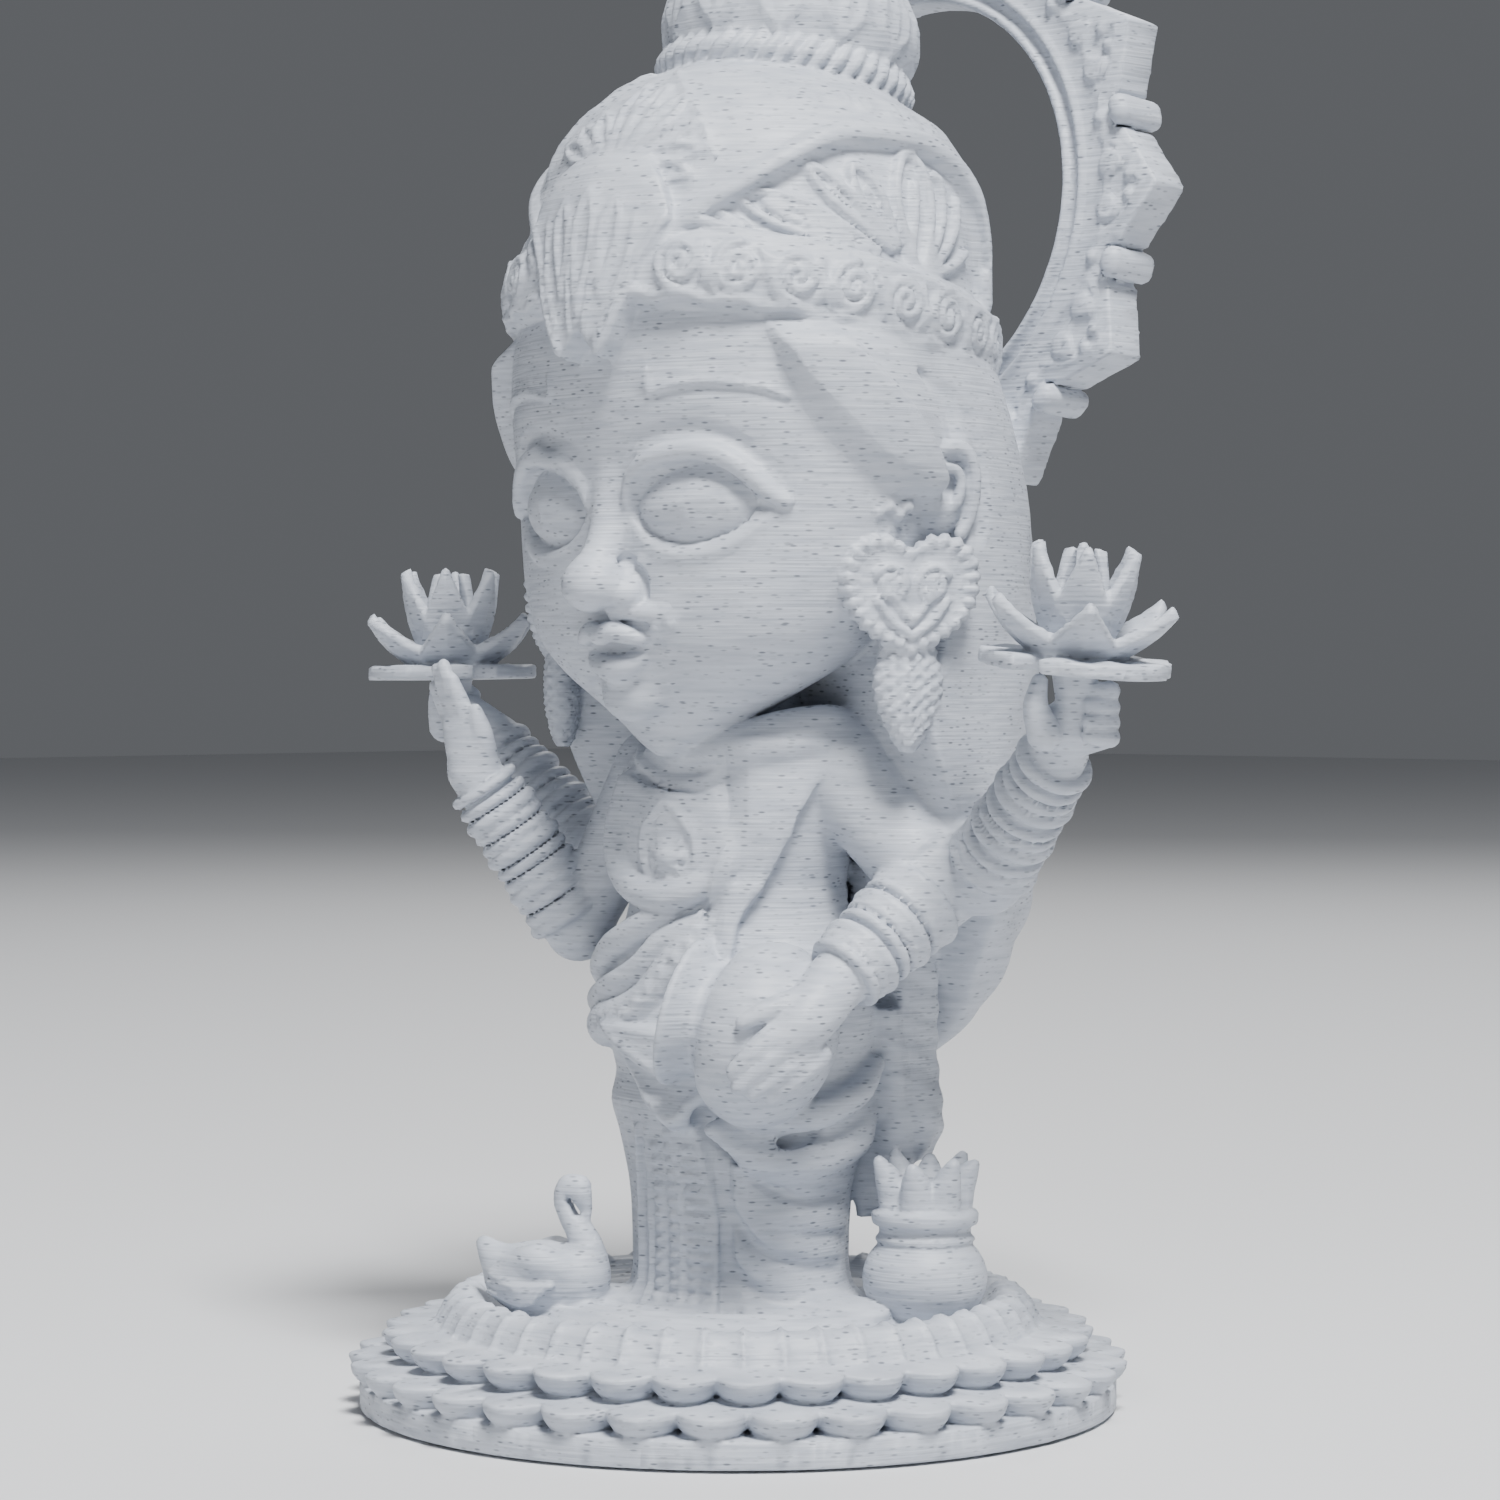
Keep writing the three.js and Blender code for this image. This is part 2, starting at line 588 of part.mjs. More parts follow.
// Her right front arm is raised in blessing; her left front arm rests its hand on the pot at her hip.
function makeFrontArms() {
  const rightShoulder = vector(-13.4, 0.5, 70);
  const rightElbow = vector(-20.2, -5, 51.2);
  const rightWrist = vector(-27.6, -14.6, 69.8);
  const leftShoulder = vector(14.2, 1.6, 70.2);
  const leftElbow = vector(24.6, 5.4, 58);
  const leftWrist = vector(21.8, -7.6, 48);
  const bangles = { start: 5, end: 20, count: 4, proud: 0.9 };
  return join([
    toSolid(limb(rightShoulder, rightElbow, 4.9, 4, 7)),
    toSolid(limb(rightElbow, rightWrist, 4.2, 3.3, 7, bangles)),
    makeHand(rightWrist, vector(-0.2, -0.22, 1), vector(1, 0, 0.05), 13.6, 0.05),
    toSolid(limb(leftShoulder, leftElbow, 5.6, 5, 7)),
    toSolid(limb(leftElbow, leftWrist, 4.8, 3.4, 7, { start: 4, end: 15.5, count: 4, proud: 0.9 })),
    makeHand(leftWrist, vector(0.02, -0.8, -0.5), vector(-0.08, -0.4, 0.77), 14.6, 0.32),
  ]);
}

// The two arms behind are bent up at the sides, and each hand holds a lotus on its leaf.
function makeRearArm() {
  const shoulder = vector(15, 10, 66);
  const elbow = vector(31, 7.4, 59.6);
  const wrist = vector(44.4, 3.4, 72.8);
  const hand = vector(47.6, 1.2, 78.2);
  return join([
    toSolid(limb(shoulder, elbow, 5, 4.4, 7)),
    toSolid(limb(elbow, wrist, 4.4, 3.3, 7, { start: 1.5, end: 17, count: 4, proud: 0.9 })),
    toSolid(limb(wrist, hand, 3.4, 2.6, 6)),
    toSolid(ovoid([47.4, 1.2, 76.6], [3.9, 4.2, 3.9], [0, 0, 0], 7, 5)),
    toSolid(turned([[0, 0], [2.6, 0], [2.6, 8], [0, 8]], 6).translate(48, 0.6, 74)),
    toSolid(limb(vector(45.2, -1.6, 75), vector(45, -3, 79), 1.3, 1, 4)),
    toSolid(limb(vector(50.4, -0.8, 74.6), vector(51, -1.8, 78.6), 1.4, 1.1, 4)),
    toSolid(limb(vector(50.8, 2.2, 74.8), vector(51.8, 2, 78.6), 1.4, 1.1, 4)),
  ]);
}

// A lotus flower on a round notched leaf.
function makeLotus() {
  const parts = [];
  const leaf = new THREE.Shape();
  const notch = 0.16;
  leaf.absarc(0, 0, LEAF_RADIUS, notch, TAU - notch, false);
  leaf.lineTo(LEAF_RADIUS * 0.45, 0);
  parts.push(toSolid(new THREE.ExtrudeGeometry(leaf, {
    depth: LEAF_THICKNESS, curveSegments: 10, bevelEnabled: false,
  })));
  const rings = [
    { count: 6, lean: 1.02, length: 13, half: 2.9, offset: 0.25 },
    { count: 5, lean: 0.42, length: 13.6, half: 2.6, offset: 0.5 },
  ];
  for (const ring of rings) {
    for (let i = 0; i < ring.count; i++) {
      const petal = turned([[0, 1.4], [ring.half, ring.length * 0.5], [0, ring.length]], 4);
      petal.scale(1, 0.5, 1).rotateX(ring.lean).translate(0, 0, 0.4);
      parts.push(toSolid(petal.rotateZ((i + ring.offset) / ring.count * TAU)));
    }
  }
  parts.push(toSolid(turned([[0, 0], [3, 0.6], [2.2, 5], [0, 11.6]], 5)));
  return join(parts);
}

// The pot held sideways at her left hip, with its mouth open to her right.
function makeHeldPot() {
  const outside = [[0, -9.8], [4.9, -8.9], [8.9, -5], [10, 0.2], [8.6, 5], [6, 7], [7.4, 8.6]];
  const inside = [[6.6, 9.6], [4.4, 6.6], [4.8, 2], [0, 0.4]];
  const body = turned([...outside, ...inside], 12);
  return toSolid(body.rotateX(0.24).rotateY(-1.18).rotateZ(0.25).translate(...HELD_POT_CENTRE));
}

// The cloth that hangs at her left hip in two folds.
function makeSash() {
  const keys = [
    [27.6, 12.6, 2, 1.6, 1.6, 14.4],
    [30, 12.8, 4.4, 2.6, 2.6, 14.4],
    [38, 12.4, 3.6, 2.6, 2.6, 14],
    [46, 11.8, 3.8, 3, 3, 14],
    [52, 10.8, 4, 3.4, 3.4, 13.6],
    [58, 9.2, 4, 3.6, 3.6, 13],
  ];
  const flare = [
    [20.4, 10.6, 1.4, 1.4, 1.4, 10.6],
    [25, 11, 4, 3, 3, 11.4],
    [32, 10.4, 5, 4, 4, 11.6],
    [44, 8.6, 5, 4, 4, 11],
  ];
  return join([toSolid(stacked(keys, 5, 8)), toSolid(stacked(flare, 4, 8))]);
}

// Toes that show under the hem, turned out on her left.
function makeFeet() {
  return join([
    toSolid(ovoid([16, -0.4, 11.2], [7.2, 4.4, 1.9], [0, 0, -0.1], 10, 4)),
    toSolid(ovoid([-10, -12, 11.2], [4.4, 6.4, 1.9], [0, 0, -0.5], 10, 4)),
  ]);
}

// Water pot with mango leaves, on the base at her left.
function makeLeafPot() {
  const parts = [toSolid(turned([
    [0, 0], [4.4, 0], [6.3, 2.4], [6.8, 5], [5.2, 9.2], [6, 10.8], [5, 12.2], [0, 12.2],
  ], 12))];
  const leaves = 7;
  for (let i = 0; i < leaves; i++) {
    const leaf = turned([[0, 0], [2.2, 2.6], [0, 8]], 4).scale(1, 0.7, 1);
    leaf.rotateX(0.42).translate(0, -2.6, 10.6).rotateZ(i / leaves * TAU);
    parts.push(toSolid(leaf));
  }
  parts.push(toSolid(turned([[0, 0], [2.2, 1], [0, 7.4]], 5).translate(0, 0, 10.6)));
  return join(parts).translate(LEAF_POT_PLACE);
}

// Swan on the base at her right, with its neck bent over.
function makeSwan() {
  const parts = [
    toSolid(ovoid([0.6, 0, 4.1], [6.4, 4.6, 4.5], [0, 0, 0], 8, 6)),
    toSolid(ovoid([-4.6, 0, 4.8], [4.8, 1.7, 2.3], [0, 0.85, 0], 6, 5)),
  ];
  const neck = [[5.4, 0, 4], [5.6, 0, 8], [3.7, 0, 11], [2.6, 0, 13.6], [3.8, 0, 15.6], [5.3, 0, 14.4]];
  parts.push(toSolid(roundBar(neck, 1.35, 6, 5)));
  parts.push(toSolid(ovoid([4.8, 0, 14], [1.7, 1.5, 1.6], [0, 0.5, 0], 6, 5)));
  parts.push(toSolid(limb(vector(5.1, 0, 13.4), vector(5.2, 0, 10.8), 0.9, 0.4, 5)));
  return join(parts).rotate([0, 0, SWAN_TURN]).translate(SWAN_PLACE);
}

function makeFigurine() {
  const lotus = makeLotus();
  const rearArm = makeRearArm();
  return join([
    toSolid(makeBaseCore()),
    toSolid(makeBasePetals()),
    toSolid(makeSkirt()),
    toSolid(makeTorso()),
    makeDressing(),
    toSolid(stacked(HEAD_KEYS, 10, 18)),
    makeFeatures(),
    toSolid(makeVeil()),
    makeSides(),
    makeCrown(),
    makeHalo(),
    makeFrontArms(),
    rearArm,
    rearArm.mirror([1, 0, 0]),
    lotus.rotate([0, LEFT_LOTUS_TIP, 0]).translate([LOTUS_X, 0.4, LOTUS_HEIGHT]),
    lotus.rotate([0, RIGHT_LOTUS_TIP, 0]).translate([-LOTUS_X, 0.4, LOTUS_HEIGHT - 1]),
    makeHeldPot(),
    makeSash(),
    makeFeet(),
    makeLeafPot(),
    makeSwan(),
  ]);
}

const marblePlastic = new THREE.MeshStandardMaterial({ color: 0xc9ced6, roughness: 0.55, metalness: 0 });
const figurine = new THREE.Mesh(toGeometry(makeFigurine()), marblePlastic);
figurine.name = 'lakshmi_figurine';

const part = new THREE.Group();
part.add(figurine);

export default part;
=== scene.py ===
"""A small doll-like figurine of the goddess Lakshmi, printed in one piece in marble-effect PLA.

The figurine is sculpted in millimetres as one distance field on a grid, the way clay is built up and carved,
and is then skinned as one mesh. She faces -Y, her left is +X, and the base stands on z = 0.
"""

import logging
import math
from collections.abc import Callable, Sequence
from dataclasses import dataclass, field
from enum import Enum

import bpy
import numpy as np
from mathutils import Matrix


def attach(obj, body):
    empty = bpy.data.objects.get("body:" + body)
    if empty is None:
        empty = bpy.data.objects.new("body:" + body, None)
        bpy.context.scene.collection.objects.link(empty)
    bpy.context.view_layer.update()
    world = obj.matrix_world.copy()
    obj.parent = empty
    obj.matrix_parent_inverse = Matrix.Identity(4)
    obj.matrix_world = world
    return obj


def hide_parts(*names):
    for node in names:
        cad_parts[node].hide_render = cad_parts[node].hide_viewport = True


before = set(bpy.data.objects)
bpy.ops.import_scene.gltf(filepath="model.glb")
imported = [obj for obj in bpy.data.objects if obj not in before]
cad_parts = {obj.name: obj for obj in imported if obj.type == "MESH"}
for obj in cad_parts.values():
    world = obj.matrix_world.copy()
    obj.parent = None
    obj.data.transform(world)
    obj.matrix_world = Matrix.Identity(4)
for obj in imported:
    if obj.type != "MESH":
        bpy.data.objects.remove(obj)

logging.basicConfig(level=logging.INFO, format="%(message)s")
log = logging.getLogger("figurine")

MM = 0.001
TAU = 2 * math.pi
NODE = "lakshmi_figurine"
FAR = 60.0  # Further away than any form reaches, in millimetres.

Vec3 = tuple[float, float, float]
Places = Sequence[Sequence[float]]
Radii = float | Sequence[float]
Array = np.ndarray
Form = Callable[[Array, Array, Array], Array]


class Side(Enum):
    """Which side of the figure a mirrored part is on."""

    LEFT = 1
    RIGHT = -1


class Surface(Enum):
    """How a line is worked into a surface."""

    RAISED = "raised"
    CARVED = "carved"


def soft_min(a: Array, b: Array, reach: float) -> Array:
    """Joins two distances with a fillet.

    Args:
        a: Distances of the first body.
        b: Distances of the second body.
        reach: Size of the fillet in millimetres; 0 gives a sharp join.

    Returns:
        Distances of the joined body.
    """
    if reach <= 0:
        return np.minimum(a, b)
    near = np.maximum(reach - np.abs(a - b), 0)
    return np.minimum(a, b) - near * near * (0.25 / reach)


def step_up(value: Array, low: float, high: float) -> Array:
    """Rises smoothly from 0 at low to 1 at high.

    Args:
        value: Where the step is read.
        low: Where it starts.
        high: Where it ends; below low, the step falls instead.

    Returns:
        The share from 0 to 1.
    """
    t = np.clip((value - low) / (high - low), 0, 1)
    return t * t * (3 - 2 * t)


def eased(keys: Array, at: Array, column: int) -> Array:
    """Reads a column of a table of keys at any height, without corners between the keys.

    Args:
        keys: Rows of values, the first of each the height that it holds for.
        at: Heights to read.
        column: Which value of the rows is read.

    Returns:
        The values.
    """
    stops = keys[:, 0]
    values = keys[:, column]
    last = len(stops) - 1
    i = np.clip(np.searchsorted(stops, at, side="right") - 1, 0, last - 1)
    before = np.maximum(i - 1, 0)
    after = np.minimum(i + 2, last)
    span = stops[i + 1] - stops[i]
    t = np.clip((at - stops[i]) / span, 0, 1)
    slope_in = (values[i + 1] - values[before]) / (stops[i + 1] - stops[before])
    slope_out = (values[after] - values[i]) / (stops[after] - stops[i])
    rise = t * t * (3 - 2 * t)
    bow_in = t * (1 - t) ** 2 * slope_in * span
    bow_out = t * t * (t - 1) * slope_out * span
    return ((1 - rise) * values[i] + rise * values[i + 1] + bow_in + bow_out).astype(np.float32)


def smooth_path(places: Places, steps: int = 5) -> Array:
    """Runs a smooth curve through places.

    Args:
        places: Points of any dimension.
        steps: Number of pieces between two places.

    Returns:
        The points along the curve.
    """
    points = np.array(places, float)
    padded = np.vstack([2 * points[0] - points[1], points, 2 * points[-1] - points[-2]])
    t = (np.arange(steps) / steps)[:, None]
    curve = []
    for a, b, c, d in zip(padded, padded[1:], padded[2:], padded[3:]):
        bend = 2 * a - 5 * b + 4 * c - d
        curve.append(0.5 * (2 * b + (c - a) * t + bend * t**2 + (3 * b - a - 3 * c + d) * t**3))
    return np.vstack([*curve, points[-1:]])


def evenly(path: Array, pitch: float, first: float = 0) -> Array:
    """Gives points at an even pitch along a path.

    Args:
        path: The path's points.
        pitch: Distance between two points.
        first: Distance of the first point from the path's start.

    Returns:
        The points.
    """
    length = np.concatenate([[0], np.cumsum(np.linalg.norm(np.diff(path, axis=0), axis=1))])
    reaches = np.arange(first, length[-1], pitch)
    return np.column_stack([np.interp(reaches, length, column) for column in path.T])


def on_side(places: Places, side: int) -> Array:
    """Gives places for one side of the figure; a side of -1 mirrors them to her right."""
    return np.array(places, float) * (side, 1, 1)


def outline_distance(u: Array, v: Array, corners: Places) -> Array:
    """Measures how far points are from a closed outline.

    Args:
        u: First coordinates.
        v: Second coordinates.
        corners: The outline's corners, in order.

    Returns:
        Distances, negative inside the outline.
    """
    nearest = FAR * FAR
    inside = False
    for (u0, v0), (u1, v1) in zip(corners, [*corners[1:], corners[0]]):
        eu, ev = u1 - u0, v1 - v0
        du, dv = u - u0, v - v0
        t = np.clip((du * eu + dv * ev) / (eu * eu + ev * ev), 0, 1)
        nearest = np.minimum(nearest, (du - eu * t) ** 2 + (dv - ev * t) ** 2)
        if ev:
            inside = inside ^ (((v0 > v) != (v1 > v)) & (du < dv * (eu / ev)))
    return np.where(inside, -1, 1) * np.sqrt(nearest)


@dataclass(frozen=True)
class Placement:
    """Where a part made about its own origin stands in the figure."""

    origin: Vec3 = (0, 0, 0)
    turn: tuple[Vec3, Vec3, Vec3] = ((1, 0, 0), (0, 1, 0), (0, 0, 1))

    @staticmethod
    def turned(origin: Sequence[float], *turns: tuple[str, float]) -> "Placement":
        """Places a part after turning it.

        Args:
            origin: Where its origin goes, in millimetres.
            turns: Axis letters and degrees, applied in order.

        Returns:
            The placement.
        """
        matrix = np.eye(3)
        for axis, degrees in turns:
            c, s = math.cos(math.radians(degrees)), math.sin(math.radians(degrees))
            i, j = {"x": (1, 2), "y": (2, 0), "z": (0, 1)}[axis]
            step = np.eye(3)
            step[i, i] = step[j, j] = c
            step[i, j], step[j, i] = -s, s
            matrix = step @ matrix
        return Placement(tuple(origin), tuple(map(tuple, matrix)))

    @staticmethod
    def along(start: Sequence[float], end: Sequence[float]) -> "Placement":
        """Places a part so that its own Z axis runs from one point towards another.

        Args:
            start: Where its origin goes.
            end: A point that its Z axis passes through.

        Returns:
            The placement.
        """
        z = np.array(end, float) - np.array(start, float)
        z /= np.linalg.norm(z)
        x = np.cross([0, 1, 0], z)
        x /= np.linalg.norm(x)
        matrix = np.column_stack([x, np.cross(z, x), z])
        return Placement(tuple(start), tuple(map(tuple, matrix)))

    def mirrored(self) -> "Placement":
        """Gives the same placement on the other side of the figure."""
        matrix = np.array(self.turn)
        matrix[0] *= -1
        return Placement((-self.origin[0], self.origin[1], self.origin[2]), tuple(map(tuple, matrix)))

    def world(self, points: Array) -> Array:
        """Turns the part's own points into points of the figure."""
        return np.asarray(points, float) @ np.array(self.turn).T + np.array(self.origin)

    def local(self, x: Array, y: Array, z: Array) -> tuple[Array, Array, Array]:
        """Turns coordinates of the figure into the part's own."""
        d = (x - self.origin[0], y - self.origin[1], z - self.origin[2])
        m = np.array(self.turn, np.float32)
        return tuple(m[0, i] * d[0] + m[1, i] * d[1] + m[2, i] * d[2] for i in range(3))


class Clay:
    """The figurine as a distance field on a grid, in millimetres, negative inside."""

    def __init__(self, low: Vec3, high: Vec3, step: float) -> None:
        """Lays out an empty grid.

        Args:
            low: Lowest corner.
            high: Highest corner.
            step: Grid spacing.
        """
        self.low = np.array(low, float)
        self.step = step
        count = np.ceil((np.array(high) - self.low) / step).astype(int) + 1
        self.axes = [(low[i] + step * np.arange(count[i])).astype(np.float32) for i in range(3)]
        self.field = np.full(count, FAR, np.float32)

    def window(self, low: Array, high: Array) -> tuple[tuple[slice, ...], list[Array]]:
        """Finds the part of the grid inside a box.

        Args:
            low: Lowest corner of the box.
            high: Highest corner of the box.

        Returns:
            The slices of the grid, and its coordinates ready for broadcasting.
        """
        count = np.array(self.field.shape)
        first = np.clip(np.floor((np.array(low) - self.low) / self.step).astype(int), 0, count)
        last = np.clip(np.ceil((np.array(high) - self.low) / self.step).astype(int) + 1, first, count)
        spans = tuple(slice(a, b) for a, b in zip(first, last))
        shapes = ((-1, 1, 1), (1, -1, 1), (1, 1, -1))
        return spans, [axis[span].reshape(shape) for axis, span, shape in zip(self.axes, spans, shapes)]

    def read(self, form: Form, box: tuple, margin: float, at: Placement | None) -> tuple[tuple, Array]:
        """Measures a form inside its box.

        Args:
            form: The form's distance function.
            box: Lowest and highest corner of the form, in its own coordinates.
            margin: How far beyond the box the form is measured.
            at: Where the form is placed, or None.

        Returns:
            The slices of the grid, and the distances there.
        """
        low, high = np.array(box[0], float), np.array(box[1], float)
        if at:
            corners = [[(low, high)[i][0], (low, high)[j][1], (low, high)[k][2]]
                       for i in (0, 1) for j in (0, 1) for k in (0, 1)]
            corners = at.world(corners)
            low, high = corners.min(0), corners.max(0)
        spans, (x, y, z) = self.window(low - margin, high + margin)
        if at:
            x, y, z = at.local(x, y, z)
        return spans, form(x, y, z)

    def join(self, spans: tuple, distance: Array, blend: float, surface: Surface) -> None:
        """Joins distances to the field, or takes them away from it."""
        sign = 1 if surface is Surface.RAISED else -1
        self.field[spans] = sign * soft_min(sign * self.field[spans], distance, blend)

    def add(self, form: Form, box: tuple, blend: float = 0, at: Placement | None = None,
            surface: Surface = Surface.RAISED) -> None:
        """Adds a form, or carves it.

        Args:
            form: The form's distance function.
            box: Lowest and highest corner of the form, in its own coordinates.
            blend: Size of the fillet where it meets what is there.
            at: Where the form is placed, or None.
            surface: Whether it is raised or carved.
        """
        spans, distance = self.read(form, box, blend + 2 * self.step, at)
        self.join(spans, distance, blend, surface)

    def swell(self, height: Form, box: tuple, at: Placement | None = None) -> None:
        """Raises the surface, or lowers it where the height is negative.

        Args:
            height: Height in millimetres at each place, 0 at the edges of the box.
            box: Lowest and highest corner of what is raised.
            at: Where the height's own coordinates lie, or None.
        """
        spans, amount = self.read(height, box, 0, at)
        self.field[spans] -= amount

    def line(self, points: Places, radius: Radii, blend: float = 0.5,
             surface: Surface = Surface.RAISED) -> None:
        """Lays a round line along points, or carves it.

        Args:
            points: The line's points.
            radius: Its radius, or the radii at points spread evenly along it.
            blend: Size of the fillet beside it.
            surface: Whether it is raised or carved.
        """
        points = np.asarray(points, float)
        given = np.atleast_1d(np.array(radius, float))
        radii = np.interp(np.linspace(0, 1, len(points)), np.linspace(0, 1, len(given)), given)
        reach = radii.max() + blend + 2 * self.step
        spans, _ = self.window(points.min(0) - reach, points.max(0) + reach)
        tube = np.full(self.field[spans].shape, FAR, np.float32)
        corner = np.array([span.start for span in spans])
        for a, b, ra, rb in zip(points, points[1:], radii, radii[1:]):
            inner, (px, py, pz) = self.window(np.minimum(a, b) - reach, np.maximum(a, b) + reach)
            place = tuple(slice(s.start - c, s.stop - c) for s, c in zip(inner, corner))
            e = b - a
            d = (px - a[0], py - a[1], pz - a[2])
            t = np.clip((d[0] * e[0] + d[1] * e[1] + d[2] * e[2]) / max(e @ e, 1e-9), 0, 1)
            gap = (d[0] - e[0] * t) ** 2 + (d[1] - e[1] * t) ** 2 + (d[2] - e[2] * t) ** 2
            distance = np.sqrt(gap) - (ra + (rb - ra) * t)
            tube[place] = np.minimum(tube[place], distance)
        self.join(spans, tube, blend, surface)

    def curve(self, places: Places, radius: Radii, blend: float = 0.5,
              surface: Surface = Surface.RAISED) -> None:
        """Lays or carves a round line along a smooth curve through places."""
        self.line(smooth_path(places), radius, blend, surface)

    def ball(self, centre: Sequence[float], half: Radii, blend: float = 0.5,
             turns: Sequence[tuple[str, float]] = (), surface: Surface = Surface.RAISED) -> None:
        """Adds or carves a ball, squeezed to three half sizes.

        Args:
            centre: Its centre.
            half: Its radius or its three half sizes.
            blend: Size of the fillet.
            turns: Axis letters and degrees.
            surface: Whether it is raised or carved.
        """
        half = np.array([half] * 3 if np.isscalar(half) else half, float)

        def form(x: Array, y: Array, z: Array) -> Array:
            """Gives the distance to the squeezed ball."""
            k0 = np.sqrt((x / half[0]) ** 2 + (y / half[1]) ** 2 + (z / half[2]) ** 2) + 1e-6
            k1 = np.sqrt((x / half[0] ** 2) ** 2 + (y / half[1] ** 2) ** 2 + (z / half[2] ** 2) ** 2) + 1e-6
            return k0 * (k0 - 1) / k1

        self.add(form, (-half, half), blend, Placement.turned(centre, *turns), surface)

    def turn(self, profile: Places, blend: float = 0, at: Placement | None = None) -> None:
        """Adds a body turned about the Z axis.

        Args:
            profile: Corners of its section as radius and height, starting and ending on the axis.
            blend: Size of the fillet.
            at: Where it is placed, or None.
        """
        corners = np.array(profile, float)
        r, low, high = corners[:, 0].max(), corners[:, 1].min(), corners[:, 1].max()
        full = [*map(tuple, corners), *((-a, b) for a, b in corners[::-1] if a > 0)]

        def form(x: Array, y: Array, z: Array) -> Array:
            """Gives the distance to the turned body."""
            return outline_distance(np.hypot(x, y), z, full)

        self.add(form, ((-r, -r, low), (r, r, high)), blend, at)

    def ring(self, centre: Sequence[float], towards: Sequence[float], radius: float, thick: float,
             blend: float = 0.3) -> None:
        """Adds a ring such as a bangle.

        Args:
            centre: Its centre.
            towards: A point on its axis.
            radius: Radius to the middle of its wire.
            thick: Radius of its wire.
            blend: Size of the fillet.
        """
        reach = radius + thick

        def form(x: Array, y: Array, z: Array) -> Array:
            """Gives the distance to the ring."""
            return np.hypot(np.hypot(x, y) - radius, z) - thick

        self.add(form, ((-reach, -reach, -thick), (reach, reach, thick)), blend,
                 Placement.along(centre, towards))


@dataclass(frozen=True)
class Stack:
    """A body of stacked ovals. A key is height, centre y, half width, front depth, back depth, centre x."""

    keys: tuple[tuple[float, ...], ...]
    relief: Callable[[Array, Array], Array] | None = None
    wrap: Callable[[Array, Array, Array], Array] | None = None

    def at(self, z: Array) -> list[Array]:
        """Reads the five values of the keys at a height."""
        table = np.array(self.keys)
        return [eased(table, z, column) for column in range(1, 6)]

    def distance(self, x: Array, y: Array, z: Array) -> Array:
        """Gives the distance to the body."""
        middle, width, front, back, across = self.at(z)
        dx = x - across
        dy = y - middle
        if self.wrap:
            for _ in range(2):
                dy = y - middle - self.wrap(x, z, np.arctan2(dx, -dy))
        depth = np.where(dy < 0, front, back)
        q = np.sqrt((dx / width) ** 2 + (dy / depth) ** 2) + 1e-6
        slope = np.sqrt((dx / width**2) ** 2 + (dy / depth**2) ** 2) + 1e-6
        side = (q - 1) * q / slope
        if self.relief:
            side = side - self.relief(np.arctan2(dx, -dy), z)
        return np.maximum(side, np.maximum(self.keys[0][0] - z, z - self.keys[-1][0]))

    def box(self) -> tuple[Array, Array]:
        """Gives the body's lowest and highest corner."""
        table = np.array(self.keys)
        z, middle, width, front, back, across = table.T
        swell = 12 if self.wrap else 2
        low = ((across - width).min() - 2, (middle - front).min() - swell, z[0])
        high = ((across + width).max() + 2, (middle + back).max() + 2, z[-1])
        return np.array(low), np.array(high)

    def point(self, degrees: float, z: float, out: float = 0) -> Vec3:
        """Gives a place on the body.

        Args:
            degrees: Angle from the front towards her left.
            z: Height.
            out: Distance out of the surface.

        Returns:
            The place.
        """
        middle, width, front, back, across = (float(v) for v in self.at(np.array(float(z))))
        a = math.radians(degrees)
        depth = front if math.cos(a) > 0 else back
        r = 1 / math.hypot(math.sin(a) / width, math.cos(a) / depth) + out
        return across + math.sin(a) * r, middle - math.cos(a) * r, z

    def front(self, x: float, z: float, out: float = 0) -> Vec3:
        """Gives the place on the body's front at a place across and up it."""
        middle, width, front, _, across = (float(v) for v in self.at(np.array(float(z))))
        share = min(abs(x - across) / width, 0.999)
        return x, middle - front * math.sqrt(1 - share**2) - out, z

    def path(self, places: Places, out: float = 0, steps: int = 5) -> Array:
        """Gives a smooth path over the body through places of degrees and height."""
        return np.array([self.point(a, z, out) for a, z in smooth_path(places, steps)])


def spiral(radius: float, turns: float, start: float, steps_a_turn: int = 14) -> Array:
    """Draws a flat spiral that winds in to its centre.

    Args:
        radius: Its outer radius.
        turns: How many times it winds; negative winds the other way.
        start: Angle of its outer end in degrees.
        steps_a_turn: Number of pieces in a turn.

    Returns:
        The points, each of two coordinates.
    """
    t = np.linspace(0, 1, int(abs(turns) * steps_a_turn) + 1)
    angle = math.radians(start) + t * turns * TAU
    r = radius * (1 - 0.86 * t)
    return np.column_stack([r * np.cos(angle), r * np.sin(angle)])


HEAD = Stack((
    (71.8, -11, 1.2, 1, 1.4, 0),
    (72.6, -10.8, 2.8, 1.9, 3, 0),
    (73.8, -10.1, 5, 3.2, 5, 0),
    (75.6, -9.2, 7.8, 5, 7.4, 0),
    (78.2, -8.3, 12.2, 7.6, 10.4, 0),
    (81.2, -7.2, 17.2, 10.8, 13.6, 0),
    (85, -6, 21.6, 13.5, 17, 0),
    (90, -4.2, 24.6, 16, 20, 0),
    (95, -2.8, 26.2, 17.4, 22.5, 0),
    (100, -2, 27, 18.4, 24, 0),
    (106, -1.5, 27.4, 20, 25, 0),
    (112, -1, 27.4, 21.6, 26, 0),
    (119, 0, 26.4, 22.4, 25.5, 0),
    (125, 1, 23, 20, 22, 0),
))

